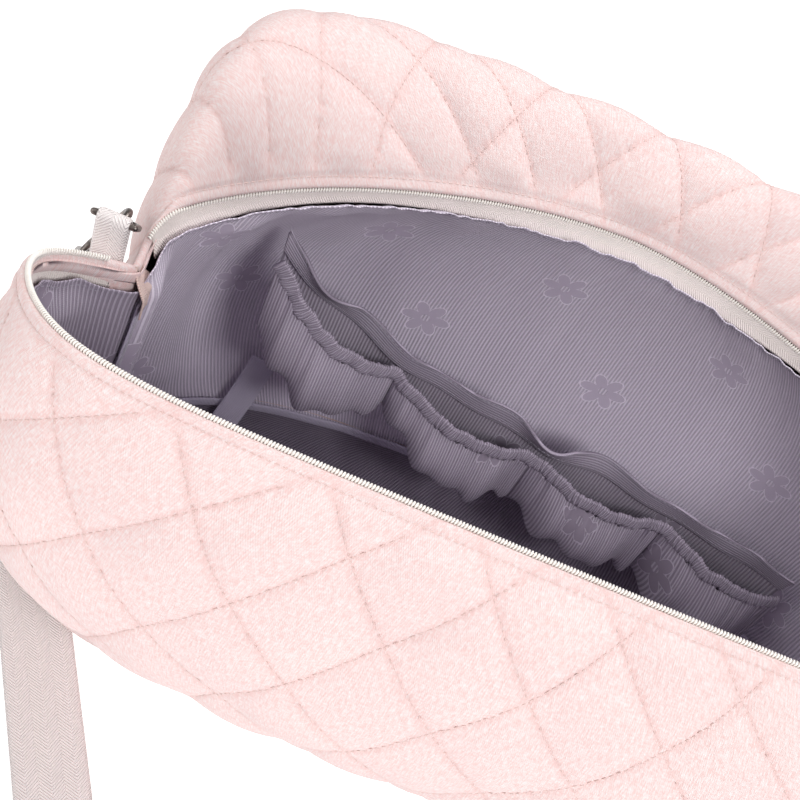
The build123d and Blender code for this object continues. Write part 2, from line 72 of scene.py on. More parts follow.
# ---- cloth dimensions --------------------------------------------------------------
# Both families of quilting lines: spacing, and the angle of the lines from the seam.
QUILT_LINES = ((0.0430, np.radians(135.0)), (0.0475, np.radians(57.0)))
PUFF = 0.0033                # height of a quilted diamond over its stitches
STITCH = 0.0034              # pitch of the quilting stitches
STITCH_SHARE = 0.66          # part of a stitch's pitch that shows as thread
THREAD = 0.00028             # radius of the pink thread
FINE_THREAD = 0.00022        # radius of the grey thread
LIP_ROLL = 0.0019            # radius of the cloth edge rolled over beside the zip
LIP_GAP = 0.0034             # from the top of the panel to the zip line
TOPSTITCH_DROP = 0.0035      # from the top of the panel to its row of topstitching
CLOTH = 0.0006               # thickness of lining cloth and zip tape
RIB = 0.0019                 # rib pitch of the lining
COIL_PITCH = 0.00127
COIL_WIDE = 0.00085          # half-widths of the coil's wire path, and the wire's radius
COIL_HIGH = 0.00098
COIL_WIRE = 0.00040
CORE_RADIUS = 0.00062
TAPE_WIDTH = 0.0125
BINDING_INSET = 0.0101       # bound seam of the lining, from the base seam
BINDING_HEIGHT = 0.0543
STRAP_WIDTH = 0.036
TAB_WIDTH = 0.014
UPWARD = np.array([0.0, 0.0, 1.0])


# ---- shape of the bag, as arrays ---------------------------------------------------
def outward(side, angle):
    """Level direction from the Z axis at each polar angle."""
    across = -np.sin(angle) if side == "front" else np.sin(angle)
    return np.stack([-np.cos(angle), across, np.zeros_like(angle)], -1)


def outline(angle, length, width, along, across):
    """Radius of a rounded rectangle at each polar angle."""
    c = np.abs(np.cos(angle)) / length
    s = np.abs(np.sin(angle)) / width
    low = np.zeros_like(angle)
    high = np.full_like(angle, 2 * (length + width))
    for _ in range(40):
        middle = (low + high) / 2
        inside = (middle * c) ** along + (middle * s) ** across < 1
        low = np.where(inside, middle, low)
        high = np.where(inside, high, middle)
    return middle


def raised(points, height):
    """The same points lifted by a height."""
    lift = np.zeros_like(points)
    lift[..., 2] = height
    return points + lift


def base_line(side, angle, inset=0.0, height=SEAM_HEIGHT):
    length, width, square = BASE[side]
    radius = outline(angle, length - inset, width - inset, square, square)
    return raised(outward(side, angle) * radius[..., None], height)


def lip_line(side, angle, inset=0.0):
    """The zip line, drawn in to a pinch at both ends."""
    length, width, along, across, height, rise, notch = LIP[side]
    s = np.abs(np.sin(angle))
    drawn = (1 - PINCH_X / length) * np.exp(-((s / notch) ** 2))
    radius = outline(angle, length, width, along, across) * (1 - drawn)
    z = PINCH_Z + (height - PINCH_Z) * np.minimum(radius * s / width, 1) ** rise
    return raised(outward(side, angle) * (radius - inset)[..., None], z)


def wall(side, angle, v, inner=False):
    """Wall surface: v is 0 on the base seam and 1 on the zip line."""
    length, width, square, height, blend = PULL["inner" if inner else side]
    inset = LINING_DEPTH if inner else 0.0
    near = np.exp(-((np.sin(angle) / blend) ** 2))
    radius = outline(angle, length, width, square, square) * (1 - near)
    radius += (SIDE_PULL_X - inset) * near
    height = height * (1 - near) + SIDE_PULL_Z * near
    base = base_line(side, angle, inset)
    pull = raised(outward(side, angle) * radius[..., None], height)
    low = base * (1 - LOW_PULL) + pull * LOW_PULL
    low[..., 2] = SEAM_HEIGHT + (height - SEAM_HEIGHT) * LOW_RISE
    top = lip_line(side, angle, inset)
    v = v[..., None]
    u = 1 - v
    return base * u**3 + low * 3 * u * u * v + pull * 3 * u * v * v + top * v**3


def unit(a):
    return a / np.maximum(np.linalg.norm(a, axis=-1, keepdims=True), 1e-9)


def distance_along(line):
    """Distance walked along a line of points, 0 at its first."""
    return np.concatenate([[0], np.cumsum(np.linalg.norm(np.diff(line, axis=0), axis=1))])


def sampled(line, places, wanted):
    """Points of a line at the wanted values of the places given for its points."""
    return np.stack([np.interp(wanted, places, line[:, k]) for k in range(3)], 1)


def cloth_uv(along, up, shape):
    """Cloth map of a grid: two distances, each spread over the whole grid."""
    return np.stack([np.broadcast_to(along, shape), np.broadcast_to(up, shape)], -1)


def full_turn(count):
    """Even angles once round a circle."""
    return np.linspace(0, 2 * np.pi, count, endpoint=False)


def normals(points, sign=1.0):
    """Unit normals of a grid of points."""
    return sign * unit(np.cross(np.gradient(points, axis=0), np.gradient(points, axis=1)))


def run_length(points, axis):
    """Distance walked along the grid lines of one axis."""
    steps = np.linalg.norm(np.diff(points, axis=axis), axis=-1)
    pad = [(0, 0), (0, 0)]
    pad[axis] = (1, 0)
    return np.cumsum(np.pad(steps, pad), axis=axis)


def even_angles(side, count, inner=False):
    """Polar angles from seam to seam at even distances along the wall."""
    dense = np.radians(np.linspace(0, 180, 1600))
    walked = distance_along(wall(side, dense, np.full_like(dense, 0.5), inner))
    return np.interp(np.linspace(0, walked[-1], count), walked, dense)


def wall_grid(side, angle, top_gap, rows, inner=False):
    """Grid of points from the base seam to a distance below the zip line."""
    v = np.linspace(0, 1, 60)
    gap = np.broadcast_to(top_gap, len(angle))
    full = wall(side, angle[:, None] + 0 * v, np.broadcast_to(v, (len(angle), len(v))), inner)
    walked = run_length(full, 1)
    grid = np.empty((len(angle), rows, 3))
    for i in range(len(angle)):
        wanted = np.linspace(0, walked[i, -1] - gap[i], rows)
        share = np.interp(wanted, walked[i], v)
        grid[i] = wall(side, np.full(rows, angle[i]), share, inner)
    return grid


def smooth_step(x, low, high):
    t = np.clip((x - low) / (high - low), 0, 1)
    return t * t * (3 - 2 * t)


def ripple(x, waves, seed):
    """Smooth irregular wave made of a few sines: waves are (length, height)."""
    phases = np.random.default_rng(seed).uniform(0, 2 * np.pi, len(waves))
    return sum(high * np.sin(2 * np.pi * x / long + phase)
               for (long, high), phase in zip(waves, phases))


def curve_through(points, count):
    """Even points on a smooth curve through the given ones (Catmull-Rom)."""
    p = np.array(points, float)
    p = np.vstack([2 * p[0] - p[1], p, 2 * p[-1] - p[-2]])
    fine = []
    for i in range(1, len(p) - 2):
        t = np.linspace(0, 1, 24, endpoint=False)[:, None]
        a = 2 * p[i]
        b = (p[i + 1] - p[i - 1]) * t
        c = (2 * p[i - 1] - 5 * p[i] + 4 * p[i + 1] - p[i + 2]) * t**2
        d = (3 * p[i] - p[i - 1] - 3 * p[i + 1] + p[i + 2]) * t**3
        fine.append((a + b + c + d) / 2)
    fine = np.vstack(fine + [p[-2:-1]])
    walked = distance_along(fine)
    return sampled(fine, walked, np.linspace(0, walked[-1], count))


# ---- meshes ------------------------------------------------------------------------
def add_mesh(name, points, faces, material, uv=None, fix_normals=True):
    """Mesh object from points, faces and one UV per point."""
    mesh = bpy.data.meshes.new(name)
    mesh.from_pydata([tuple(p) for p in points], [], faces)
    if uv is not None:
        layer = mesh.uv_layers.new(name="Cloth")
        index = np.empty(len(mesh.loops), int)
        mesh.loops.foreach_get("vertex_index", index)
        layer.data.foreach_set("uv", np.asarray(uv, float)[index].ravel())
    if fix_normals:
        work = bmesh.new()
        work.from_mesh(mesh)
        bmesh.ops.recalc_face_normals(work, faces=work.faces)
        work.to_mesh(mesh)
        work.free()
    mesh.polygons.foreach_set("use_smooth", [True] * len(mesh.polygons))
    mesh.materials.append(material)
    piece = bpy.data.objects.new(name, mesh)
    bpy.context.scene.collection.objects.link(piece)
    return piece


def grid_faces(rows, columns, start=0, wrap=False):
    faces = []
    last = columns if wrap else columns - 1
    for i in range(rows - 1):
        for j in range(last):
            a = start + i * columns + j
            b = start + i * columns + (j + 1) % columns
            faces.append((a, a + columns, b + columns, b))
    return faces


def shell(name, top, under, uv, material):
    """Closed cloth between two grids of points."""
    rows, columns = top.shape[:2]
    count = rows * columns
    points = np.concatenate([top.reshape(-1, 3), under.reshape(-1, 3)])
    faces = grid_faces(rows, columns) + [f[::-1] for f in grid_faces(rows, columns, count)]
    rim = [i * columns for i in range(rows)]
    rim += [(rows - 1) * columns + j for j in range(1, columns)]
    rim += [i * columns + columns - 1 for i in range(rows - 2, -1, -1)]
    rim += list(range(columns - 2, 0, -1))
    for a, b in zip(rim, rim[1:] + rim[:1]):
        faces.append((b, a, a + count, b + count))
    return add_mesh(name, points, faces, material, np.tile(uv.reshape(-1, 2), (2, 1)))


def tube(name, rings, material, uv=None):
    """Closed tube through rings of points, an array of (rings, points in a ring, 3)."""
    count, around = rings.shape[:2]
    faces = grid_faces(count, around, wrap=True)
    faces.append(tuple(range(around))[::-1])
    faces.append(tuple(range((count - 1) * around, count * around)))
    flat_uv = None if uv is None else uv.reshape(-1, 2)
    return add_mesh(name, rings.reshape(-1, 3), faces, material, flat_uv)


def frames_along(line, up):
    """Sideways and upward directions along a line."""
    tangent = unit(np.gradient(line, axis=0))
    side = unit(np.cross(tangent, up))
    return side, np.cross(side, tangent)


def stitches(name, starts, ends, ups, radius, material):
    """Short thread stitches, each a small pod between two points."""
    shape = ((0.0, 0.35, -0.3), (0.25, 0.95, 0.3), (0.75, 0.95, 0.3), (1.0, 0.35, -0.3))
    around = 5
    last = (len(shape) - 1) * around
    points = []
    faces = []
    for start, end, up in zip(starts, ends, ups):
        along = unit(end - start)
        side = np.cross(along, up)
        first = len(points)
        for share, size, lift in shape:
            centre = start + (end - start) * share + up * lift * radius
            for a in full_turn(around):
                points.append(centre + (side * np.cos(a) + up * np.sin(a)) * radius * size)
        faces += grid_faces(len(shape), around, first, wrap=True)
        faces.append(tuple(range(first, first + around))[::-1])
        faces.append(tuple(range(first + last, first + last + around)))
    return add_mesh(name, points, faces, material, fix_normals=False)


def on_bag(piece, slot, *nodes):
    """Finishes a soft piece of the bag: its body and the CAD it stands for. The slot argument is
    not used.
    """
    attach(piece, "bag")
    if nodes:
        piece.name = f"{nodes[0]}_soft"
        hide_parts(*nodes)
    return piece


def lookup(grid, walked, across, u, s):
    """Point on a grid at a distance along it and a distance up it."""
    position = np.interp(u, across, np.arange(len(across)))
    i = min(int(position), len(across) - 2)
    share = position - i
    result = np.zeros(3)
    for column, weight in ((i, 1 - share), (i + 1, share)):
        here = [np.interp(s, walked[column], grid[column, :, k]) for k in range(3)]
        result += weight * np.array(here)
    return result


# ---- materials ---------------------------------------------------------------------
class Graph:
    """Small helper for wiring shader nodes."""

    def __init__(self, name, roughness, metallic=0.0, sheen=0.0):
        self.material = bpy.data.materials.new(name)
        self.material.use_nodes = True
        self.tree = self.material.node_tree
        self.shader = self.tree.nodes["Principled BSDF"]
        self.shader.inputs["Roughness"].default_value = roughness
        self.shader.inputs["Metallic"].default_value = metallic
        if sheen:
            self.shader.inputs["Sheen Weight"].default_value = sheen
            self.shader.inputs["Sheen Roughness"].default_value = 0.45

    def node(self, kind, **settings):
        made = self.tree.nodes.new("ShaderNode" + kind)
        for key, value in settings.items():
            setattr(made, key, value)
        return made

    def plug(self, value, socket):
        if isinstance(value, (int, float, tuple)):
            socket.default_value = value
        else:
            self.tree.links.new(value, socket)

    def math(self, operation, a, b=0.0, clamp=False):
        made = self.node("Math", operation=operation, use_clamp=clamp)
        self.plug(a, made.inputs[0])
        self.plug(b, made.inputs[1])
        return made.outputs[0]

    def add(self, a, b, clamp=False):
        return self.math("ADD", a, b, clamp)

    def minus(self, a, b, clamp=False):
        return self.math("SUBTRACT", a, b, clamp)

    def times(self, a, b, clamp=False):
        return self.math("MULTIPLY", a, b, clamp)

    def contrast(self, value, low, gain):
        """0 up to the low value, then rising with the gain, to 1 at most."""
        return self.times(self.minus(value, low), gain, clamp=True)

    def cloth_map(self):
        """Distances along and up the cloth, in metres."""
        split = self.node("SeparateXYZ")
        self.plug(self.node("UVMap", uv_map="Cloth").outputs[0], split.inputs[0])
        return split.outputs[0], split.outputs[1]

    def stretched_noise(self, x, y, size_x, size_y, detail=2.0):
        """Noise whose grains have a size in each direction."""
        join = self.node("CombineXYZ")
        self.plug(self.math("DIVIDE", x, size_x), join.inputs[0])
        self.plug(self.math("DIVIDE", y, size_y), join.inputs[1])
        noise = self.node("TexNoise")
        self.plug(join.outputs[0], noise.inputs["Vector"])
        self.plug(1.0, noise.inputs["Scale"])
        self.plug(detail, noise.inputs["Detail"])
        return noise.outputs["Fac"]

    def wave(self, distance, pitch):
        """Soft stripe from 0 to 1 and back once a pitch."""
        turn = self.times(distance, 2 * np.pi / pitch)
        return self.add(self.times(self.math("SINE", turn), 0.5), 0.5)

    def mix_value(self, share, a, b):
        made = self.node("Mix", data_type="FLOAT")
        self.plug(share, made.inputs[0])
        self.plug(a, made.inputs[2])
        self.plug(b, made.inputs[3])
        return made.outputs[0]

    def mix(self, share, dark, light):
        made = self.node("Mix", data_type="RGBA")
        self.plug(share, made.inputs[0])
        self.plug(dark, made.inputs[6])
        self.plug(light, made.inputs[7])
        return made.outputs[2]

    def colour(self, value):
        self.plug(value, self.shader.inputs["Base Color"])

    def bump(self, height, depth):
        made = self.node("Bump")
        self.plug(1.0, made.inputs["Strength"])
        self.plug(depth, made.inputs["Distance"])
        self.plug(height, made.inputs["Height"])
        self.plug(made.outputs[0], self.shader.inputs["Normal"])


def rgb(red, green, blue):
    return (red, green, blue, 1.0)


def quilted_material(name="pink_twill"):
    """Pale pink mottled twill: pale and rosy threads over a fine diagonal weave, with painted
    shade along the quilting lines.
    """
    g = Graph(name, 0.9, sheen=0.08)
    u, v = g.cloth_map()
    streak = g.stretched_noise(u, v, 0.0006, 0.0045, 3.0)
    slub = g.stretched_noise(u, v, 0.0022, 0.0011, 3.0)
    cloud = g.stretched_noise(u, v, 0.045, 0.045)
    twill = g.wave(g.add(u, g.times(v, 0.7)), 0.00095)
    thread = g.add(g.times(streak, 0.62), g.times(slub, 0.38))
    share = g.contrast(thread, 0.40, 4.2)
    near = []
    for spacing, slant in QUILT_LINES:
        rise, run = float(np.sin(slant)), float(np.cos(slant))
        off = g.minus(g.times(u, rise), g.times(v, run))
        fold = g.math("PINGPONG", g.add(off, 40 * spacing), spacing)
        near.append(g.math("MINIMUM", fold, g.minus(spacing, fold)))
    gap = g.math("MINIMUM", *near)
    # Painted shade: the weave is darkened towards both families of quilting lines, up to 3.2 mm
    # away, standing in for the shade in the quilted valleys.
    valley_shade = g.minus(1.0, g.math("DIVIDE", gap, 0.0032), clamp=True)
    share = g.minus(share, g.times(valley_shade, 0.32), clamp=True)
    weave = g.mix(share, rgb(0.84, 0.60, 0.575), rgb(0.90, 0.81, 0.80))
    tone = g.mix(g.contrast(cloud, 0.35, 1.6), rgb(0.93, 0.92, 0.93), rgb(1.0, 1.0, 1.0))
    shaded = g.node("Mix", data_type="RGBA", blend_type="MULTIPLY")
    g.plug(1.0, shaded.inputs[0])
    g.plug(weave, shaded.inputs[6])
    g.plug(tone, shaded.inputs[7])
    g.colour(shaded.outputs[2])
    g.bump(g.add(g.times(thread, 1.2), g.times(twill, 0.5)), 0.00022)
    return g.material


# The default tones are darkened for the pockets as painted shade; the lit back-wall copy and the
# shaded base copy are tones of the same lining.
def lining_material(name, light=(0.56, 0.49, 0.60), dark=(0.27, 0.225, 0.29), turn=0.0,
                    motif=True):
    """Ribbed lining cloth with a plain woven sprig here and there."""
    g = Graph(name, 0.8, sheen=0.05)
    u, v = g.cloth_map()
    c = float(np.cos(turn))
    s = float(np.sin(turn))
    across = g.add(g.times(u, c), g.times(v, s))
    along = g.minus(g.times(v, c), g.times(u, s))
    wobble = g.times(g.minus(g.stretched_noise(u, v, 0.012, 0.03), 0.5), 0.0007)
    rib = g.wave(g.add(across, wobble), RIB)
    pick = g.wave(g.add(along, g.times(rib, 0.0004)), 0.0009)
    crisp = g.contrast(rib, 0.30, 2.3)
    height = g.add(crisp, g.times(pick, 0.28))
    fleck = g.stretched_noise(u, v, 0.0007, 0.0016)
    share = g.add(g.times(crisp, 0.68), g.times(pick, 0.14))
    share = g.add(share, g.times(fleck, 0.20), clamp=True)
    if motif:
        petals, edge = sprig(g, u, v)
        share = g.mix_value(petals, share, 0.06)
        share = g.mix_value(edge, share, 1.0)
        height = g.mix_value(petals, height, 0.45)
    g.colour(g.mix(share, rgb(*dark), rgb(*light)))
    g.bump(height, 0.00050)
    return g.material


def sprig(g, u, v, spacing=0.105, size=0.0135):
    """A plain six-petalled flower, repeated over the cloth: inside it, and on its edge."""
    row = g.math("FLOOR", g.math("DIVIDE", v, spacing * 0.62))
    shift = g.times(g.math("MODULO", row, 2.0), spacing / 2)
    x = g.minus(g.math("FLOORED_MODULO", g.add(u, shift), spacing), spacing / 2)
    y = g.minus(g.math("FLOORED_MODULO", v, spacing * 0.62), spacing * 0.31)
    radius = g.math("SQRT", g.add(g.times(x, x), g.times(y, y)))
    angle = g.math("ARCTAN2", y, x)
    lobes = g.math("ABSOLUTE", g.math("COSINE", g.times(angle, 3.0)))
    reach = g.times(g.add(g.times(lobes, 0.55), 0.45), size)
    gap = g.minus(reach, radius)
    heart = g.math("GREATER_THAN", radius, size * 0.20)
    inside = g.times(g.math("GREATER_THAN", gap, 0.0), heart)
    rim = g.math("LESS_THAN", g.math("ABSOLUTE", gap), 0.00045)
    return inside, rim


def twill_tape_material(name, light, dark, pitch, lean, depth=0.0003):
    """Narrow woven tape: slanting ribs that turn back along its middle (herringbone)."""
    g = Graph(name, 0.8, sheen=0.2)
    u, v = g.cloth_map()
    slant = g.add(v, g.times(g.math("PINGPONG", u, 0.006), lean))
    rib = g.wave(slant, pitch)
    grain = g.stretched_noise(u, v, 0.0004, 0.0011, 3.0)
    share = g.add(g.times(rib, 0.62), g.times(grain, 0.5), clamp=True)
    g.colour(g.mix(share, rgb(*dark), rgb(*light)))
    g.bump(g.add(rib, g.times(grain, 0.4)), depth)
    return g.material


def thread_material(name, tint):
    g = Graph(name, 0.6, sheen=0.2)
    place = g.node("NewGeometry").outputs["Position"]
    split = g.node("SeparateXYZ")
    g.plug(place, split.inputs[0])
    x, y, z = split.outputs
    twist = g.wave(g.add(x, g.add(y, z)), 0.0007)
    pale = tuple(min(1.0, c * 1.06) for c in tint)
    deep = tuple(c * 0.86 for c in tint)
    g.colour(g.mix(twist, rgb(*deep), rgb(*pale)))
    g.bump(twist, 0.0001)
    return g.material


def solid_material(name, light, dark, roughness, metallic, grain, depth):
    """Hard material: cloudy tone, fine grain in its gloss and surface."""
    g = Graph(name, roughness, metallic)
    where = g.node("TexCoord").outputs["Object"]
    cloud = g.node("TexNoise")
    g.plug(where, cloud.inputs["Vector"])
    g.plug(grain, cloud.inputs["Scale"])
    g.plug(5.0, cloud.inputs["Detail"])
    fine = g.node("TexNoise")
    g.plug(where, fine.inputs["Vector"])
    g.plug(grain * 7, fine.inputs["Scale"])
    share = g.contrast(cloud.outputs["Fac"], 0.35, 3.0)
    g.colour(g.mix(share, rgb(*dark), rgb(*light)))
    worn = g.add(g.times(fine.outputs["Fac"], 0.18), roughness - 0.09)
    g.plug(worn, g.shader.inputs["Roughness"])
    g.bump(fine.outputs["Fac"], depth)
    return g.material


TWILL = quilted_material()
# LINING and LINING_PLAIN keep the default tones, which are darkened as painted shade for the
# pockets.
LINING = lining_material("ribbed_lining")
# Painted light: a much lighter copy of the lining for the back wall, standing in for the light
# that falls on it.
LIT_LINING_WALL = lining_material("ribbed_lining_wall_lit", (0.92, 0.84, 0.97), (0.52, 0.45, 0.56))
LINING_PLAIN = lining_material("ribbed_lining_plain", motif=False)
# Painted shade: a much darker copy of the lining for the base, standing in for the shade deep
# inside the bag.
SHADED_LINING_BASE = lining_material("ribbed_lining_base_shaded", (0.36, 0.31, 0.39), (0.15, 0.12, 0.165),
                              turn=-0.42, motif=False)
ZIP_TAPE = twill_tape_material("zip_tape_weave", (0.95, 0.88, 0.84), (0.84, 0.74, 0.70),
                               0.0011, 0.5)
WEBBING = twill_tape_material("ivory_webbing", (0.97, 0.91, 0.90), (0.84, 0.77, 0.76),
                              0.0017, 1.0, depth=0.0005)
GROSGRAIN = twill_tape_material("grey_grosgrain", (0.72, 0.66, 0.80), (0.52, 0.47, 0.60),
                                0.0008, 0.0)
FACING = twill_tape_material("pink_facing", (0.86, 0.66, 0.61), (0.70, 0.48, 0.43), 0.0009, 1.0)
NYLON = solid_material("cream_nylon", (0.96, 0.93, 0.89), (0.90, 0.85, 0.80),
                       0.38, 0.0, 900.0, 0.00003)
PINK_THREAD = thread_material("pink_thread", (0.84, 0.62, 0.58))
GREY_THREAD = thread_material("grey_thread", (0.44, 0.40, 0.48))
IVORY_THREAD = thread_material("ivory_thread", (0.84, 0.77, 0.73))
ANTIQUE = solid_material("antique_metal", (0.30, 0.26, 0.24), (0.10, 0.085, 0.08),
                         0.34, 1.0, 420.0, 0.00004)
ENAMEL = solid_material("cream_enamel", (0.85, 0.79, 0.75), (0.76, 0.70, 0.66),
                        0.30, 0.0, 300.0, 0.00003)
BOARD = solid_material("grey_board", (0.40, 0.38, 0.37), (0.26, 0.25, 0.25),
                       0.85, 0.0, 250.0, 0.0002)


# ---- camera, lights and floor ------------------------------------------------------
def make_camera():
    back = Vector((-0.0836, -0.6922, 0.7168)).normalized()
    right = Vector((0.9170, 0.2284, 0.3270))
    right = (right - back * right.dot(back)).normalized()
    up = back.cross(right)
    lens = bpy.data.cameras.new("camera")
    lens.sensor_width = 36.0
    lens.lens = 54.3
    lens.clip_start = 0.01
    camera = bpy.data.objects.new("camera", lens)
    turn = Matrix((right, up, back)).transposed().to_4x4()
    camera.matrix_world = Matrix.Translation((-0.1198, -0.3696, 0.5795)) @ turn
    bpy.context.scene.collection.objects.link(camera)
    bpy.context.scene.camera = camera


def add_light(name, place, target, size, power):
    lamp = bpy.data.lights.new(name, "AREA")
    lamp.shape = "DISK"
    lamp.size = size
    lamp.energy = power
    light = bpy.data.objects.new(name, lamp)
    aim = Vector(target) - Vector(place)
    turn = aim.to_track_quat("-Z", "Y").to_matrix().to_4x4()
    light.matrix_world = Matrix.Translation(place) @ turn
    bpy.context.scene.collection.objects.link(light)


def make_stage():
    world = bpy.data.worlds.new("studio")
    world.use_nodes = True
    backdrop = world.node_tree.nodes["Background"]
    backdrop.inputs["Color"].default_value = (1.0, 0.985, 0.975, 1.0)
    backdrop.inputs["Strength"].default_value = 0.41
    bpy.context.scene.world = world
    add_light("key", (0.75, -1.05, 1.25), (0, 0, 0.15), 0.6, 15.5)
    add_light("fill", (-1.1, -0.5, 0.9), (0, 0, 0.15), 1.0, 5.5)
    add_light("top", (0.1, 0.5, 1.5), (0, 0, 0.15), 0.8, 9.5)
    paper = Graph("floor_paper", 0.9)
    paper.colour(rgb(0.80, 0.80, 0.80))
    paper.shader.inputs["Emission Color"].default_value = (1.0, 1.0, 1.0, 1.0)
    paper.shader.inputs["Emission Strength"].default_value = 0.55
    half = 3.0
    below = -0.0004
    corners = [(x * half, y * half, below) for x, y in ((-1, -1), (1, -1), (1, 1), (-1, 1))]
    floor = add_mesh("floor", corners, [(0, 1, 2, 3)], paper.material, fix_normals=False)
    bpy.context.scene.view_settings.view_transform = "Standard"


make_camera()
make_stage()


# ---- quilted outer shell -----------------------------------------------------------
def from_lines(u, s):
    """Phase across each family of quilting lines: whole numbers lie on a line."""
    return [(u * np.sin(slant) - s * np.cos(slant)) / spacing for spacing, slant in QUILT_LINES]


def quilting(u, s):
    """Height of the quilted cloth: 0 on the stitch lines, 1 in the middle of a diamond."""
    a, b = from_lines(u, s)
    return (np.abs(np.sin(np.pi * a)) * np.abs(np.sin(np.pi * b))) ** 0.55


def puckers(u, s, seed):
    """Small creases that run off the stitch lines, and wide soft dents."""
    a, b = from_lines(u, s)
    run_a = a * QUILT_LINES[0][0]
    run_b = b * QUILT_LINES[1][0]
    beside_a = np.exp(-np.abs(np.sin(np.pi * a)) * 4)
    beside_b = np.exp(-np.abs(np.sin(np.pi * b)) * 4)
    small = ripple(run_b, ((0.0061, 0.5), (0.0093, 0.5)), seed) * beside_a
    small += ripple(run_a, ((0.0067, 0.5), (0.0101, 0.5)), seed + 1) * beside_b
    broad = ripple(u + 0.3 * s, ((0.11, 0.5), (0.17, 0.6)), seed + 2)
    broad = broad * ripple(s, ((0.13, 0.8), (0.21, 0.6)), seed + 3)
    return 0.00045 * small, 0.0016 * broad


def quilting_thread(name, grid, walked, across, top_margin, out):
    """Thread stitches along both families of quilting lines."""
    starts = []
    ends = []
    ups = []
    longest = walked[:, -1].max()
    face = normals(grid, out)
    for spacing, slant in QUILT_LINES:
        gap = spacing / np.sin(slant)
        climb = STITCH * np.sin(slant)
        lean = np.cos(slant) / np.sin(slant)
        lines = int(np.ceil(2 * (across[-1] + longest) / gap)) + 1
        for k in range(-lines, lines):
            for t in np.arange(0, longest / climb):
                up = [t * climb, (t + STITCH_SHARE) * climb]
                along = [k * gap + lean * s for s in up]
                if min(along) <= across[0] or max(along) >= across[-1]:
                    continue
                column = int(round(np.interp(along[0], across, np.arange(len(across)))))
                if up[0] <= 0.003 or up[1] >= walked[column, -1] - top_margin:
                    continue
                starts.append(lookup(grid, walked, across, along[0], up[0]))
                ends.append(lookup(grid, walked, across, along[1], up[1]))
                row = int(np.interp(up[0], walked[column], np.arange(grid.shape[1])))
                ups.append(face[column, row])
    return stitches(name, starts, ends, ups, THREAD, PINK_THREAD)


def make_panel(side):
    """Quilted panel: puffed outer face, rolled over at the zip and closed behind."""
    out = 1.0 if side == "front" else -1.0
    columns = 400
    rows = 170
    angle = even_angles(side, columns)
    flat = wall_grid(side, angle, LIP_GAP, rows)
    walked = run_length(flat, 1)
    across = distance_along(flat[:, rows // 2])
    across -= across[-1] / 2
    face = normals(flat, out)
    u = across[:, None] + 0 * walked
    from_top = walked[:, -1:] - walked
    held = smooth_step(from_top, 0.001, 0.016) * smooth_step(walked, 0.0, 0.014)
    held = held * smooth_step(np.abs(np.sin(angle))[:, None], 0.0, 0.05)
    small, broad = puckers(u, walked, 11 if side == "front" else 31)
    height = held * (PUFF * quilting(u, walked) - 0.0012 + small + broad)
    topstitch = 0.0008 * np.exp(-(((from_top - TOPSTITCH_DROP) / 0.0012) ** 2))
    seam_roll = 0.0026 * (1 - smooth_step(walked, 0.0, 0.006))
    top = flat + face * (height - topstitch - seam_roll)[..., None]
    rise = unit(top[:, -1] - top[:, -3])
    roll = [top[:, -1] + rise * LIP_ROLL * np.sin(t) - face[:, -1] * LIP_ROLL * (1 - np.cos(t))
            for t in np.radians([25, 50, 75, 105, 140, 180])]
    inner_low = top[:, -1] - face[:, -1] * 2 * LIP_ROLL - rise * 0.004
    skin = np.concatenate([top, np.stack(roll, 1), inner_low[:, None]], 1)
    depth = np.full(skin.shape[:2], QUILT - 0.0006)
    depth[:, rows:] = 0.0016
    inner = skin - normals(skin, out) * depth[..., None]
    inner[:, rows:] = inner[:, rows - 1:rows]
    up = np.concatenate([walked, walked[:, -1:] + np.linspace(0.001, 0.012, 7)[None]], 1)
    uv = cloth_uv(across[:, None], up, up.shape)
    panel = shell(f"{side}_panel", skin, inner, uv, TWILL)
    on_bag(panel, "quilted_cloth", f"{side}_panel")
    thread = quilting_thread(f"{side}_quilting_thread", top, walked, across, 0.008, out)
    on_bag(thread, "quilted_cloth")
    line = np.array([lookup(top, walked, across, across[i], walked[i, -1] - TOPSTITCH_DROP)
                     for i in range(2, columns - 2)])
    edge_thread = run_stitches(f"{side}_zip_topstitch", line, face[2:columns - 2, -4], 0.0031,
                               PINK_THREAD)
    on_bag(edge_thread, "quilted_cloth")
    beside = top[:, -1] - face[:, -1] * (LIP_ROLL + 0.0006) + rise * (LIP_ROLL + 0.0011)
    return angle, beside


def run_stitches(name, line, ups, pitch, material, radius=THREAD):
    """Thread stitches at an even pitch along a line."""
    walked = distance_along(line)
    begin = np.arange(0, walked[-1] - pitch, pitch)
    starts = sampled(line, walked, begin)
    ends = sampled(line, walked, begin + pitch * STITCH_SHARE)
    return stitches(name, starts, ends, unit(sampled(ups, walked, begin)), radius, material)


panels = {side: make_panel(side) for side in ("front", "back")}


# ---- base of the bag ---------------------------------------------------------------
def round_base(count, inset, height):
    """Closed outline of the base: the front half, then the back half."""
    half = np.linspace(0, np.pi, count // 2, endpoint=False)
    front = base_line("front", half, inset, height)
    back = base_line("back", np.pi - half, inset, height)
    return np.concatenate([front, back])


def base_surface(profile, count, rows, hub_rows):
    """Bowl through base outlines given as (inset, height), closed towards its middle."""
    line = curve_through([(inset, 0, height) for inset, height in profile], rows)
    rings = [round_base(count, inset, height) for inset, _, height in line]
    hub = []
    for share in np.linspace(0.02, 1, hub_rows, endpoint=False):
        ring = rings[0].copy()
        ring[:, :2] *= share
        hub.append(ring)
    return np.stack(hub + rings, 1)


def unrolled(grid):
    """Cloth map of a bowl, laid out flat from its middle."""
    level = grid[..., :2]
    reach = run_length(grid, 1)[..., None] + np.linalg.norm(level[:, :1], axis=-1, keepdims=True)
    return unit(level) * reach


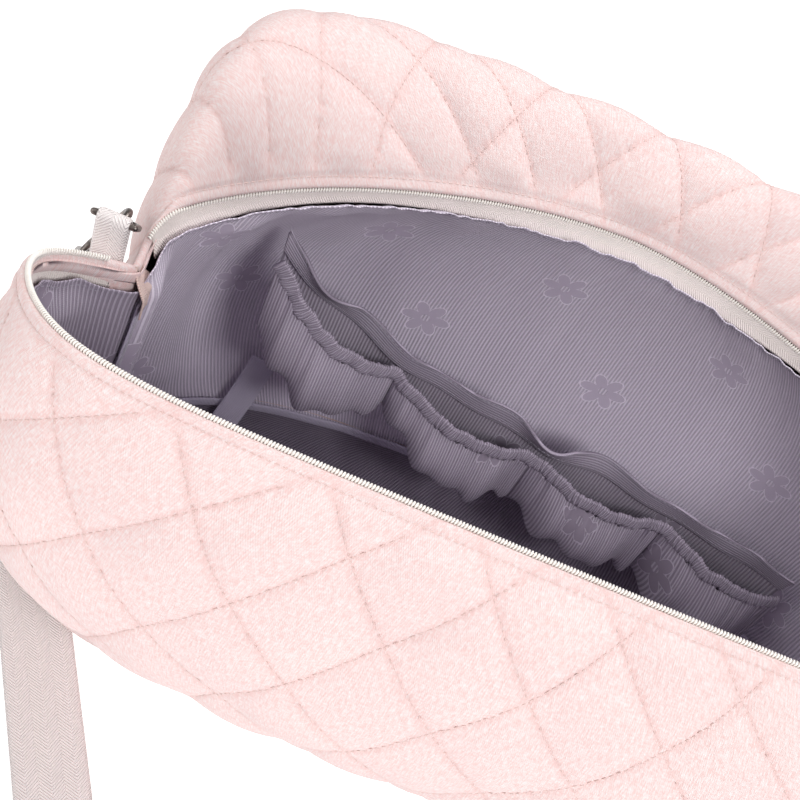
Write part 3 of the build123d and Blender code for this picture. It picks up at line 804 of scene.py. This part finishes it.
def closed_bowl(name, visible, under, uv, material):
    """Bowl between two closed grids of rings, open at its rim, with a round hub."""
    count, rows = visible.shape[:2]
    points = np.concatenate([visible.reshape(-1, 3), under.reshape(-1, 3)])
    size = count * rows
    faces = []
    for i in range(count):
        j = (i + 1) % count
        for k in range(rows - 1):
            quad = (i * rows + k, j * rows + k, j * rows + k + 1, i * rows + k + 1)
            faces.append(quad)
            faces.append(tuple(size + q for q in quad[::-1]))
        rim = (i * rows + rows - 1, j * rows + rows - 1)
        faces.append((rim[0], rim[1], size + rim[1], size + rim[0]))
    faces.append(tuple(i * rows for i in range(count)))
    faces.append(tuple(size + i * rows for i in reversed(range(count))))
    return add_mesh(name, points, faces, material, np.tile(uv.reshape(-1, 2), (2, 1)))


def make_base():
    count = 480
    mm = [(30, 0), (24, 3.6), (13.5, 9.6), (4.8, 18.6),
          (0.6, 30), (0.3, 40), (0.9, 47), (3.0, 49.6)]
    outside = base_surface([(a * MM, b * MM) for a, b in mm], count, 70, 24)
    u = np.linspace(0, 1.26, count)[:, None]
    walked = run_length(outside, 1)
    down = walked[:, -1:] - walked
    face = normals(outside)
    face *= np.sign((face[count // 4, -20] * outside[count // 4, -20]).sum())
    soft = smooth_step(down, 0.003, 0.014) * smooth_step(outside[..., 2], 0.004, 0.02)
    dents = 0.0010 * ripple(u, ((0.07, 0.6), (0.12, 0.5)), 3)
    puff = soft * (0.6 * PUFF * quilting(u, -down) + dents - 0.0008)
    outside = outside + face * puff[..., None]
    outside[..., 2] = np.maximum(outside[..., 2], 0.0)
    inside = outside - face * 0.0045
    inside[..., 2] = np.maximum(inside[..., 2], 0.0045)
    tub = closed_bowl("base_tub", outside, inside, cloth_uv(u, -down, down.shape), TWILL)
    on_bag(tub, "quilted_cloth", "base_tub")

    mm = [(37.5, 9.6), (31, 13.0), (21, 19.4), (12.6, 28.6), (8.8, 40), (8.2, 50.6)]
    floor = base_surface([(a * MM, b * MM) for a, b in mm], count, 46, 60)
    face = normals(floor)
    face *= np.sign(face[count // 4, 30, 2])
    x, y = floor[..., 0], floor[..., 1]
    out = smooth_step(floor[..., 2], 0.0097, 0.03)
    crease = 0.0010 * ripple(u, ((0.034, 0.5), (0.052, 0.6), (0.083, 0.5)), 5) * out
    swell = 0.0009 * (1 + ripple(x + 0.5 * y, ((0.15, 0.5), (0.23, 0.4)), 6)) * (1 - out)
    floor = floor + face * (crease + swell + 0.0002)[..., None]
    # The base lining takes the darker lining copy, which is painted shade.
    lining = closed_bowl("base_lining", floor, floor - face * CLOTH, unrolled(floor),
                         SHADED_LINING_BASE)
    on_bag(lining, "lining_cloth", "base_lining")


make_base()


# ---- lining ------------------------------------------------------------------------
def make_lining(side):
    """Lining panel: soft upright folds, more at the ends, and a wavy edge on the zip tape."""
    inner = side == "back"
    out = -1.0 if inner else 1.0
    columns = 330
    rows = 100
    angle = even_angles(side, columns, inner=inner)
    base = wall_grid(side, angle, 0.011, 3, inner)
    across = distance_along(base[:, 1])
    seed = 50 if inner else 60
    scallop = 0.0013 * ripple(across, ((0.019, 0.5), (0.031, 0.8), (0.047, 0.5)), seed)
    cover = 0.0045 + 0.0045 * smooth_step(angle, 1.9, 2.4) if inner else 0.0105
    grid = wall_grid(side, angle, cover + scallop, rows, inner)
    walked = run_length(grid, 1)
    face = normals(grid, out)
    from_top = walked[:, -1:] - walked
    at_end = smooth_step(np.abs(np.cos(angle))[:, None], 0.72, 0.95)
    u = across[:, None] - 0.10 * from_top * np.sign(np.cos(angle))[:, None]
    broad = ripple(u, ((0.041, 0.5), (0.063, 0.7), (0.097, 0.6)), seed + 1) + 1.2
    gather = ripple(across[:, None] + 0 * walked, ((0.0083, 0.5), (0.0127, 0.6)), seed + 2)
    gather = (gather + 0.9) * np.exp(-from_top / 0.014)
    ends = smooth_step(walked, 0.0, 0.03) * smooth_step(from_top, 0.0, 0.02)
    fold = (0.0006 + 0.0026 * at_end) * broad * ends + 0.00035 * gather
    fold *= smooth_step(np.abs(np.sin(angle))[:, None], 0.0, 0.03)
    fold += 0.0016 * np.exp(-from_top / 0.006)
    depth = (0.0 if inner else LINING_DEPTH) + 0.0008 + np.maximum(fold, 0)
    visible = grid - face * depth[..., None]
    uv = cloth_uv(across[:, None], walked, walked.shape)
    # The back wall takes the lighter lining copy, which is painted light.
    material = LIT_LINING_WALL if inner else LINING
    cloth = shell(f"{side}_lining", visible, visible + face * CLOTH, uv, material)
    on_bag(cloth, "lining_cloth", f"{side}_lining")
    stitch_line = visible[:, -3] - face[:, -3] * 0.0002
    thread = run_stitches(f"{side}_lining_stitches", stitch_line[8:-8], -face[8:-8, -3],
                          0.0032, GREY_THREAD, FINE_THREAD)
    on_bag(thread, "lining_cloth")


def make_zip(side):
    """Zip tape and its nylon coil along one lip, close beside the rolled cloth."""
    lip_angle, beside = panels[side]
    dense = np.radians(np.linspace(3.5, 176.5, 440))
    share = np.linspace(0, 1, 9)
    below = 0.0180 if side == "front" else 0.0125
    behind = wall_grid(side, dense, below, 3, side == "back")[:, -1]
    if side == "front":
        behind = behind - unit(outward(side, dense)) * LINING_DEPTH
    start = sampled(beside, lip_angle, dense)
    strip = start[:, None] + (behind - start)[:, None] * share[None, :, None]
    face = unit(outward(side, dense))[:, None]
    walked = run_length(strip, 0)[:, :1]
    uv = cloth_uv(share[None] * TAPE_WIDTH, walked, strip.shape[:2])
    tape = shell(f"{side}_zip_tape", strip, strip - face * CLOTH, uv, ZIP_TAPE)
    on_bag(tape, "zip_tape", f"{side}_zip_tape")

    angle = np.radians(np.linspace(3.0, 177.0, 2400))
    centre = sampled(beside, lip_angle, angle)
    length = np.linalg.norm(np.diff(centre, axis=0), axis=1).sum()
    turns = int(length / COIL_PITCH)
    per_turn = 12
    centre = curve_through(centre[::12], turns * per_turn)
    sideways, up = frames_along(centre, UPWARD)
    spin = np.arange(len(centre)) * 2 * np.pi / per_turn
    radial = sideways * np.cos(spin)[:, None] + up * np.sin(spin)[:, None]
    path = (centre + sideways * (COIL_WIDE * np.cos(spin))[:, None]
            + up * (COIL_HIGH * np.sin(spin))[:, None])
    run = unit(np.gradient(path, axis=0))
    flank = unit(np.cross(run, radial))
    around = full_turn(5)
    spokes = (radial[:, None] * np.cos(around)[None, :, None]
              + flank[:, None] * np.sin(around)[None, :, None])
    rings = path[:, None] + COIL_WIRE * spokes
    coil = tube(f"{side}_zip_coil", rings, NYLON)
    on_bag(coil, "zip_coil", f"{side}_zip_coil")
    core_line = centre[::6]
    around = full_turn(8)
    spokes = (sideways[::6, None] * np.cos(around)[None, :, None]
              + up[::6, None] * np.sin(around)[None, :, None])
    core_rings = core_line[:, None] + CORE_RADIUS * spokes
    on_bag(tube(f"{side}_zip_core", core_rings, IVORY_THREAD), "zip_coil")


for side in ("front", "back"):
    make_lining(side)
    make_zip(side)


def rolled_tape(name, line, up, width, thick, material, slot, *nodes):
    """Narrow bound tape with round edges along a line."""
    sideways, high = frames_along(line, up)
    around = full_turn(14)
    lift = np.sign(np.sin(around)) * np.abs(np.sin(around)) ** 0.6 * width / 2
    out = np.sign(np.cos(around)) * np.abs(np.cos(around)) ** 0.9 * thick / 2
    rings = (line[:, None] + high[:, None] * lift[None, :, None]
             + sideways[:, None] * out[None, :, None])
    uv = cloth_uv(lift[None], distance_along(line)[:, None], rings.shape[:2])
    return on_bag(tube(name, rings, material, uv), slot, *nodes)


def make_bindings():
    """Bound seams of the lining: round the base and up both ends."""
    for side in ("front", "back"):
        angle = np.radians(np.linspace(4, 176, 260))
        line = base_line(side, angle, BINDING_INSET, BINDING_HEIGHT)
        line[:, 2] += 0.0004 * ripple(np.linspace(0, 0.6, 260), ((0.04, 0.5), (0.07, 0.6)), 8)
        rolled_tape(f"{side}_base_binding", line, UPWARD, 0.006, 0.0018,
                    GROSGRAIN, "lining_tape", f"{side}_base_binding")
    v = np.linspace(0.12, 0.80, 60)
    spine = wall("back", np.zeros(60), v, True)
    for hand, name in ((-1, "left"), (1, "right")):
        line = spine.copy()
        line[:, 0] = (-line[:, 0] - 0.0026) * hand
        line[:, 1] = 0.0006 * ripple(v, ((0.3, 1.0), (0.17, 0.5)), 9)
        rolled_tape(f"{name}_side_binding", line, np.array([0.0, 1.0, 0.0]), 0.0085, 0.0016,
                    GROSGRAIN, "lining_tape", f"{name}_side_binding")
        near = np.array([-hand * 0.0009, -0.0038, 0])
        far = np.array([-hand * 0.0009, 0.0038, 0])
        loops = 46
        last = len(line) - 1
        starts = []
        ends = []
        for k in range(loops):
            a = line[int(k * last / loops)] + near
            b = line[int((k + 0.5) * last / loops)] + far
            starts += [a, b]
            ends += [b, line[min(int((k + 1) * last / loops), last)] + near]
        ups = [np.array([-hand, 0.0, 0.0])] * len(starts)
        thread = stitches(f"{name}_overlock_thread", starts, ends, ups, FINE_THREAD, GREY_THREAD)
        on_bag(thread, "lining_tape")


def make_facings():
    """Folded tape that covers each end of the zip, inside."""
    half = 0.0075
    long = 0.022
    across = np.linspace(-half, half, 14)
    down = np.linspace(0, long, 18)
    for hand, name in ((-1, "left"), (1, "right")):
        grid = np.empty((len(across), len(down), 3))
        for i, y in enumerate(across):
            for j, d in enumerate(down):
                lean = 0.0068 * (1 - smooth_step(d, 0.0, 0.012))
                x = PINCH_X - 0.0090 + lean - 0.0012 * (y / half) ** 2
                narrow = 0.45 + 0.55 * smooth_step(d, 0.0, 0.010)
                grid[i, j] = (hand * x, y * narrow, PINCH_Z - 0.0015 - d)
        face = normals(grid)
        face *= np.sign(face[7, 9, 0]) * -hand
        uv = np.stack(np.meshgrid(across, down, indexing="ij"), -1)
        piece = shell(f"{name}_zip_end_facing", grid + face * 0.0005, grid - face * 0.0004, uv,
                      FACING)
        on_bag(piece, "zip_tape", f"{name}_zip_end_facing")


make_bindings()
make_facings()


# ---- pockets and bottle band -------------------------------------------------------
def pocket_top(x):
    """Height of the gathered edge: high at the ends and slack between them."""
    return 0.111 + 0.104 * np.exp(-(x + 0.160) / 0.066) + 0.060 * np.exp(-(0.205 - x) / 0.014)


def pocket_floor(x):
    """Height of the pocket bottoms: they climb towards the left end."""
    places = [-0.150, -0.137, -0.120, -0.092, -0.074, -0.060, -0.020, 0.014, 0.058, 0.097, 0.165]
    heights = [0.146, 0.128, 0.115, 0.103, 0.106, 0.098, 0.082, 0.071, 0.074, 0.062, 0.062]
    return np.interp(x, places, heights)


def pocket_back(x):
    """Depth of the pocket unit's back: it turns forward towards the ends."""
    middle = (POCKET_EDGES[0] + POCKET_EDGES[-1]) / 2
    half = (POCKET_EDGES[-1] - POCKET_EDGES[0]) / 2
    return 0.092 - 0.026 * np.abs((x - middle) / half) ** 3


def pocket_share(x):
    """How far x is across its own compartment, from 0 to 1."""
    edges = np.array(POCKET_EDGES)
    index = np.clip(np.searchsorted(edges, x, side="right") - 1, 0, len(edges) - 2)
    return (x - edges[index]) / (edges[index + 1] - edges[index])


def pocket_front(x):
    """Depth of the gathered edge: it is stitched back between compartments."""
    return pocket_back(x) - 0.013 - 0.014 * np.sin(np.pi * pocket_share(x))


def cloth_piece(name, grid, uv, thick, material):
    """Thin lining cloth whose visible face looks forward, towards -Y."""
    face = normals(grid)
    face *= -np.sign(face[..., 1].sum())
    return on_bag(shell(name, grid, grid - face * thick, uv, material), "lining_cloth", name)


def make_pocket_back():
    """Cloth behind the pockets, with its turned and twice-stitched hem."""
    columns = 260
    x = np.linspace(POCKET_EDGES[0], POCKET_EDGES[-1], columns)
    top = pocket_top(x)
    share = np.linspace(0, 1, 24)
    sway = 0.0022 * ripple(x, ((0.052, 0.7), (0.083, 0.8)), 71)
    y = pocket_back(x)[:, None] - 0.0045 * share + sway[:, None] * share**2
    floor = pocket_floor(x)
    z = floor[:, None] + (top - 0.001 - floor)[:, None] * share
    grid = np.stack([np.broadcast_to(x[:, None], y.shape), y, z], -1)
    uv = np.stack([grid[..., 0] * 1.06, z], -1)
    cloth = cloth_piece("pocket_back_layer", grid, uv, 0.0007, LINING)

    share = np.linspace(0, 1, 16)
    curl = ripple(x, ((0.047, 0.6), (0.071, 0.9), (0.113, 0.7)), 72)
    lean = 0.0030 * curl[:, None] * share**1.5
    y = (pocket_back(x) - 0.0055 + sway)[:, None] - 0.0028 * share - lean
    height = 0.0145 + 0.0012 * ripple(x, ((0.06, 0.6), (0.09, 0.5)), 73)
    z = (top - 0.003)[:, None] + height[:, None] * share - np.abs(lean) * 0.35
    bead = 0.0006 * np.exp(-(((share - 0.96) / 0.05) ** 2))
    bead = bead - 0.0003 * np.exp(-(((share - 0.82) / 0.03) ** 2))
    grid = np.stack([np.broadcast_to(x[:, None], y.shape), y - bead, z], -1)
    uv = np.stack([share[None] * height[:, None] + 0 * z, grid[..., 0] * 1.06], -1)
    hem = cloth_piece("pocket_hem", grid, uv, 0.0014, LINING_PLAIN)
    for number, row in enumerate((3, 13), start=1):
        line = grid[4:-4, row] + np.array([0, -0.0002, 0])
        ups = np.broadcast_to(np.array([0.0, -1.0, 0.25]), line.shape)
        thread = run_stitches(f"pocket_hem_stitches_{number}", line, ups, 0.0030, GREY_THREAD,
                              FINE_THREAD)
        on_bag(thread, "lining_cloth")


def make_pocket_front():
    """Four gathered compartments, which hang below the ruched elastic casing."""
    for number, (left, right) in enumerate(zip(POCKET_EDGES, POCKET_EDGES[1:]), start=1):
        columns = 96
        rows = 60
        share = np.linspace(0, 1, columns)[:, None]
        down = np.linspace(0, 1, rows)[None]
        x = left + (right - left) * share
        bulge = np.sin(np.pi * share)
        x_flat = np.clip(x, left + 1e-6, right - 1e-6)
        top_y = pocket_front(x_flat)
        top_z = pocket_top(x) - 0.0082
        back_y = pocket_back(x)
        floor = pocket_floor(x)
        cloth = (right - left) * 1.30
        knots = [
            (top_y, top_z),
            (top_y - 0.011 * bulge, top_z - 0.30 * (top_z - floor)),
            (top_y - 0.020 * bulge, floor + 0.32 * (top_z - floor)),
            (top_y - 0.015 * bulge + 0.002, floor + 0.004 - 0.010 * bulge),
            (top_y + 0.010 * bulge**2, floor - 0.001 - 0.003 * bulge),
            (back_y - 0.004, floor + 0.004),
        ]
        y = np.zeros((columns, rows))
        z = np.zeros((columns, rows))
        degree = len(knots) - 1
        choose = [1, 5, 10, 10, 5, 1]
        for k, (ky, kz) in enumerate(knots):
            weight = choose[k] * down**k * (1 - down) ** (degree - k)
            y += ky * weight
            z += kz * weight
        seed = 80 + number
        u = share * cloth
        pinch = np.exp(-down / 0.16)
        ruff = ripple(u + 0.004 * down, ((0.0062, 0.6), (0.0089, 0.7), (0.0133, 0.4)), seed)
        broad = ripple(u + 0.01 * down, ((0.025, 0.7), (0.041, 0.8)), seed + 10)
        hold = smooth_step(share, 0, 0.04) * smooth_step(1 - share, 0, 0.04)
        settle = smooth_step(1 - down, 0.0, 0.25)
        y -= hold * (0.0013 * pinch * ruff + 0.0024 * broad * (1 - pinch) * settle)
        drop = 0.0022 * broad * smooth_step(down, 0.35, 0.7) * settle * hold
        grid = np.stack([np.broadcast_to(x, y.shape), y, z - drop], -1)
        walked = run_length(grid, 1)
        uv = cloth_uv(u + number * 0.037, -walked + 0.013 * number, walked.shape)
        piece = cloth_piece(f"elastic_pocket_{number}", grid, uv, CLOTH, LINING)


def make_casing():
    """Elastic casing: cloth bunched into close ridges, with a small frill over it."""
    count = 2600
    x = np.linspace(POCKET_EDGES[0] + 0.0005, POCKET_EDGES[-1] - 0.0005, count)
    line = np.stack([x, pocket_front(x) + 0.0005, pocket_top(x) - 0.0042], -1)
    reach = 40
    even = np.ones(2 * reach + 1) / (2 * reach + 1)
    line[:, 1:] = np.stack([np.convolve(np.pad(line[:, k], reach, "edge"), even, "valid")
                            for k in (1, 2)], 1)
    walked = distance_along(line)
    line[:, 1] += 0.0010 * ripple(walked, ((0.017, 0.5), (0.029, 0.6)), 91)
    line[:, 2] += 0.0006 * ripple(walked, ((0.013, 0.5), (0.023, 0.6)), 92)
    sideways, up = frames_along(line, UPWARD)
    around = full_turn(20)
    ridge = ripple(walked[:, None] + 0.0011 * np.sin(around + 0.6)[None],
                   ((0.0026, 0.50), (0.0034, 0.42), (0.0049, 0.35)), 93)
    fold = 1 + 0.24 * ridge
    tall = 0.0043 * np.sign(np.sin(around)) * np.abs(np.sin(around)) ** 0.8
    deep = 0.0019 * np.sign(np.cos(around)) * np.abs(np.cos(around)) ** 0.8
    waist = 1 - 0.30 * np.exp(-((tall - 0.0022) / 0.0006) ** 2)
    rings = (line[:, None] + up[:, None] * (tall[None] * (1 + 0.10 * ridge))[..., None]
             + sideways[:, None] * (deep[None] * waist[None] * fold)[..., None])
    uv = cloth_uv(walked[:, None] * 1.6, tall[None], rings.shape[:2])
    on_bag(tube("elastic_casing", rings, LINING_PLAIN, uv), "lining_cloth", "elastic_casing")


def ribbon_grid(line, across, width, columns, thin_from):
    """Flat tape along a line: its middle, face directions, edge thinning and cloth map."""
    tangent = unit(np.gradient(line, axis=0))
    across = unit(across - tangent * (across * tangent).sum(1, keepdims=True))
    face = unit(np.cross(tangent, across))
    share = np.linspace(-0.5, 0.5, columns)
    edge = 1 - 0.55 * smooth_step(np.abs(share), thin_from, 0.5)
    middle = line[:, None] + across[:, None] * (share * width)[None, :, None]
    uv = cloth_uv(share[None] * width, distance_along(line)[:, None], middle.shape[:2])
    return middle, face, edge, uv


def ribbon(name, line, across, width, thick, material):
    """Woven tape along a line, with its width along the given direction."""
    middle, face, edge, uv = ribbon_grid(line, np.array(across), width, 13, 0.44)
    half = face[:, None] * (edge * thick / 2)[None, :, None]
    return shell(name, middle + half, middle - half, uv, material)


def make_bottle_band():
    route = [(-141, 88, 92), (-144, 84, 74), (-148, 77, 56), (-153, 64, 40), (-159, 44, 29),
             (-164, 20, 24), (-166, -8, 24), (-160, -34, 31), (-152, -50, 42)]
    line = curve_through(np.array(route) * MM, 90)
    band = ribbon("bottle_band", line, (1.0, 0.2, 0.15), 0.015, 0.0011, GROSGRAIN)
    on_bag(band, "lining_tape", "bottle_band")


make_pocket_back()
make_pocket_front()
make_casing()
make_bottle_band()


# ---- ring tabs and shoulder strap --------------------------------------------------
def mirrored(piece, name):
    """The same piece at the other end of the bag."""
    mesh = piece.data.copy()
    mesh.transform(Matrix.Scale(-1, 4, (1, 0, 0)))
    mesh.flip_normals()
    copy = bpy.data.objects.new(name, mesh)
    bpy.context.scene.collection.objects.link(copy)
    return copy


def both_ends(piece, kind, slot, nodes=True):
    """Puts a left piece and its mirror image on the bag."""
    for side, made in (("left", piece), ("right", mirrored(piece, f"right_{kind}"))):
        if nodes:
            on_bag(made, slot, f"{side}_{kind}")
        else:
            on_bag(made, slot)


HALF_TURN = np.radians([0, 45, 90, 135, 180])


def make_ring_tab():
    low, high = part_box("left_ring_tab")
    centre_x = (low.x + high.x) / 2
    radius = (high.y - low.y) / 2 - WEB / 2
    fold_z = high.z - (high.y - low.y) / 2
    leg = [(0.0011, low.z), (0.0016, low.z + 0.014), (radius, fold_z - 0.004)]
    path = [(centre_x, -y, z) for y, z in leg]
    path += [(centre_x, -radius * np.cos(t), fold_z + radius * np.sin(t)) for t in HALF_TURN]
    path += [(centre_x, y, z) for y, z in reversed(leg)]
    line = curve_through(path, 70)
    tab = ribbon("left_ring_tab", line, (1.0, 0.0, 0.0), TAB_WIDTH, WEB * 0.94, WEBBING)
    both_ends(tab, "ring_tab", "webbing")


def fold_over(points, corner, line_normal, bend):
    """Folds flat webbing over a line on the floor, with a small round bend."""
    beyond = (points[..., :2] - corner) @ line_normal
    arc = np.pi * bend
    turn = np.clip(beyond, 0, arc) / bend
    past = np.where(beyond < arc, bend * np.sin(turn), arc - beyond)
    reach = np.where(beyond <= 0, beyond, past)
    lift = np.where(beyond <= 0, 0, bend * (1 - np.cos(turn)))
    folded = points.copy()
    folded[..., :2] += (reach - beyond)[..., None] * line_normal
    folded[..., 2] += lift
    return folded


def make_strap():
    """Shoulder strap: down from the hook, across the floor and folded round in front."""
    low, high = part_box("left_swivel_eye")
    bar = np.array([low.x + 0.002, (low.y + high.y) / 2, low.z + 0.002])
    heading = unit(np.array([0.5, -0.866, 0.0]))
    side_on = np.array([-heading[1], heading[0], 0.0])
    landing = np.array([-0.234, 0.006, 0.0010])     # where the webbing meets the floor
    run = 0.208                                     # from there to its fold
    past_fold = 0.145
    top = bar + np.array([0, 0, -0.0059])
    route = [top, top + (-0.001, 0, -0.020), top + (-0.003, 0, -0.060), top + (-0.004, 0, -0.090),
             landing + (-0.0075, 0.0065, 0.037), landing + (-0.007, 0.005, 0.020),
             landing - heading * 0.0015 + (-0.004, 0, 0.0075),
             landing + heading * 0.004 + (-0.0005, 0, 0.002),
             landing + heading * 0.011, landing + heading * 0.030]
    drop = curve_through(route, 110)
    turn = smooth_step(np.linspace(0, 1, 110), 0.05, 0.72)[:, None]
    across = unit(np.array([0, -1.0, 0]) * (1 - turn) - side_on * turn)
    step = 0.0015
    reach = np.arange(step, run - 0.030 + past_fold, step)[:, None]
    floor_line = drop[-1] + heading * reach
    floor_line[:, 2] = landing[2]
    line = np.vstack([drop, floor_line])
    across = np.vstack([across, np.broadcast_to(-side_on, floor_line.shape)])
    middle, face, edge, uv = ribbon_grid(line, across, STRAP_WIDTH, 17, 0.46)
    crease = unit(heading[:2] - np.array([1.0, 0.0]))
    corner = (landing + heading * run)[:2]
    bend = WEB / 2 + 0.00005
    past = middle[..., :2] @ crease - corner @ crease
    flip = np.clip(past / (np.pi * bend), 0, 1)[..., None]
    centre = fold_over(middle, corner, crease, bend)
    outwards = np.append(crease, 0.0) * np.sign(face[-1, 2])
    centre_normal = face[:, None] * np.cos(np.pi * flip) + outwards * np.sin(np.pi * flip)
    thick = (edge * WEB * 0.47)[None, :, None]
    keep = (centre[:, :, 0] < 0.002).all(1) | (np.arange(len(line)) < 150)
    upper = (centre + centre_normal * thick)[keep]
    lower = (centre - centre_normal * thick)[keep]
    uv = uv[keep]
    upper[-1, :, 0] = 0.0
    lower[-1, :, 0] = 0.0
    grids = []
    for grid in (upper, lower):
        other = grid[::-1].copy()
        other[..., 0] *= -1
        grids.append(np.concatenate([grid, other[1:]]))
    uv = np.concatenate([uv, uv[::-1][1:]])
    strap = shell("shoulder_strap", grids[0], grids[1], uv, WEBBING)
    on_bag(strap, "webbing", "shoulder_strap")
    make_strap_loop(bar, top)


def make_strap_loop(bar, top):
    """Strap end round the bar of the hook's eye, and the box stitch under it."""
    radius = 0.0031
    path = [top, top + (-0.0004, 0, 0.0022)]
    path += [bar + (radius * np.cos(t), 0, radius * np.sin(t)) for t in HALF_TURN]
    path += [bar + (-0.0028, 0, -0.006), bar + (-0.0024, 0, -0.012), bar + (-0.0035, 0, -0.040)]
    line = curve_through(path, 80)
    loop = ribbon("left_strap_loop", line, (0.0, -1.0, 0.0), STRAP_WIDTH, WEB * 0.94, WEBBING)
    both_ends(loop, "strap_loop", "webbing")
    half, high, low = 0.013, -0.014, -0.036
    box = [(-half, high), (half, high), (half, low), (-half, low), (-half, high), (half, low),
           (half, high), (-half, low)]
    corners = np.array([bar + (-0.0030 - 0.035 * (-z - 0.012), y, z) for y, z in box])
    starts = []
    ends = []
    for a, b in zip(corners, corners[1:]):
        number = max(int(np.linalg.norm(b - a) / 0.003), 1)
        for k in range(number):
            starts.append(a + (b - a) * k / number)
            ends.append(a + (b - a) * (k + 0.7) / number)
    ups = [np.array([-1.0, 0.0, 0.0])] * len(starts)
    box_stitch = stitches("left_strap_stitching", starts, ends, ups, 0.0003, IVORY_THREAD)
    both_ends(box_stitch, "strap_stitching", "webbing", nodes=False)


make_ring_tab()
make_strap()

# ---- metal and hidden CAD parts ----------------------------------------------------
for name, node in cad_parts.items():
    if node.hide_render:
        continue
    hard = ENAMEL if name.startswith("zip_") else ANTIQUE
    node.data.materials.clear()
    node.data.materials.append(BOARD if name == "base_board" else hard)
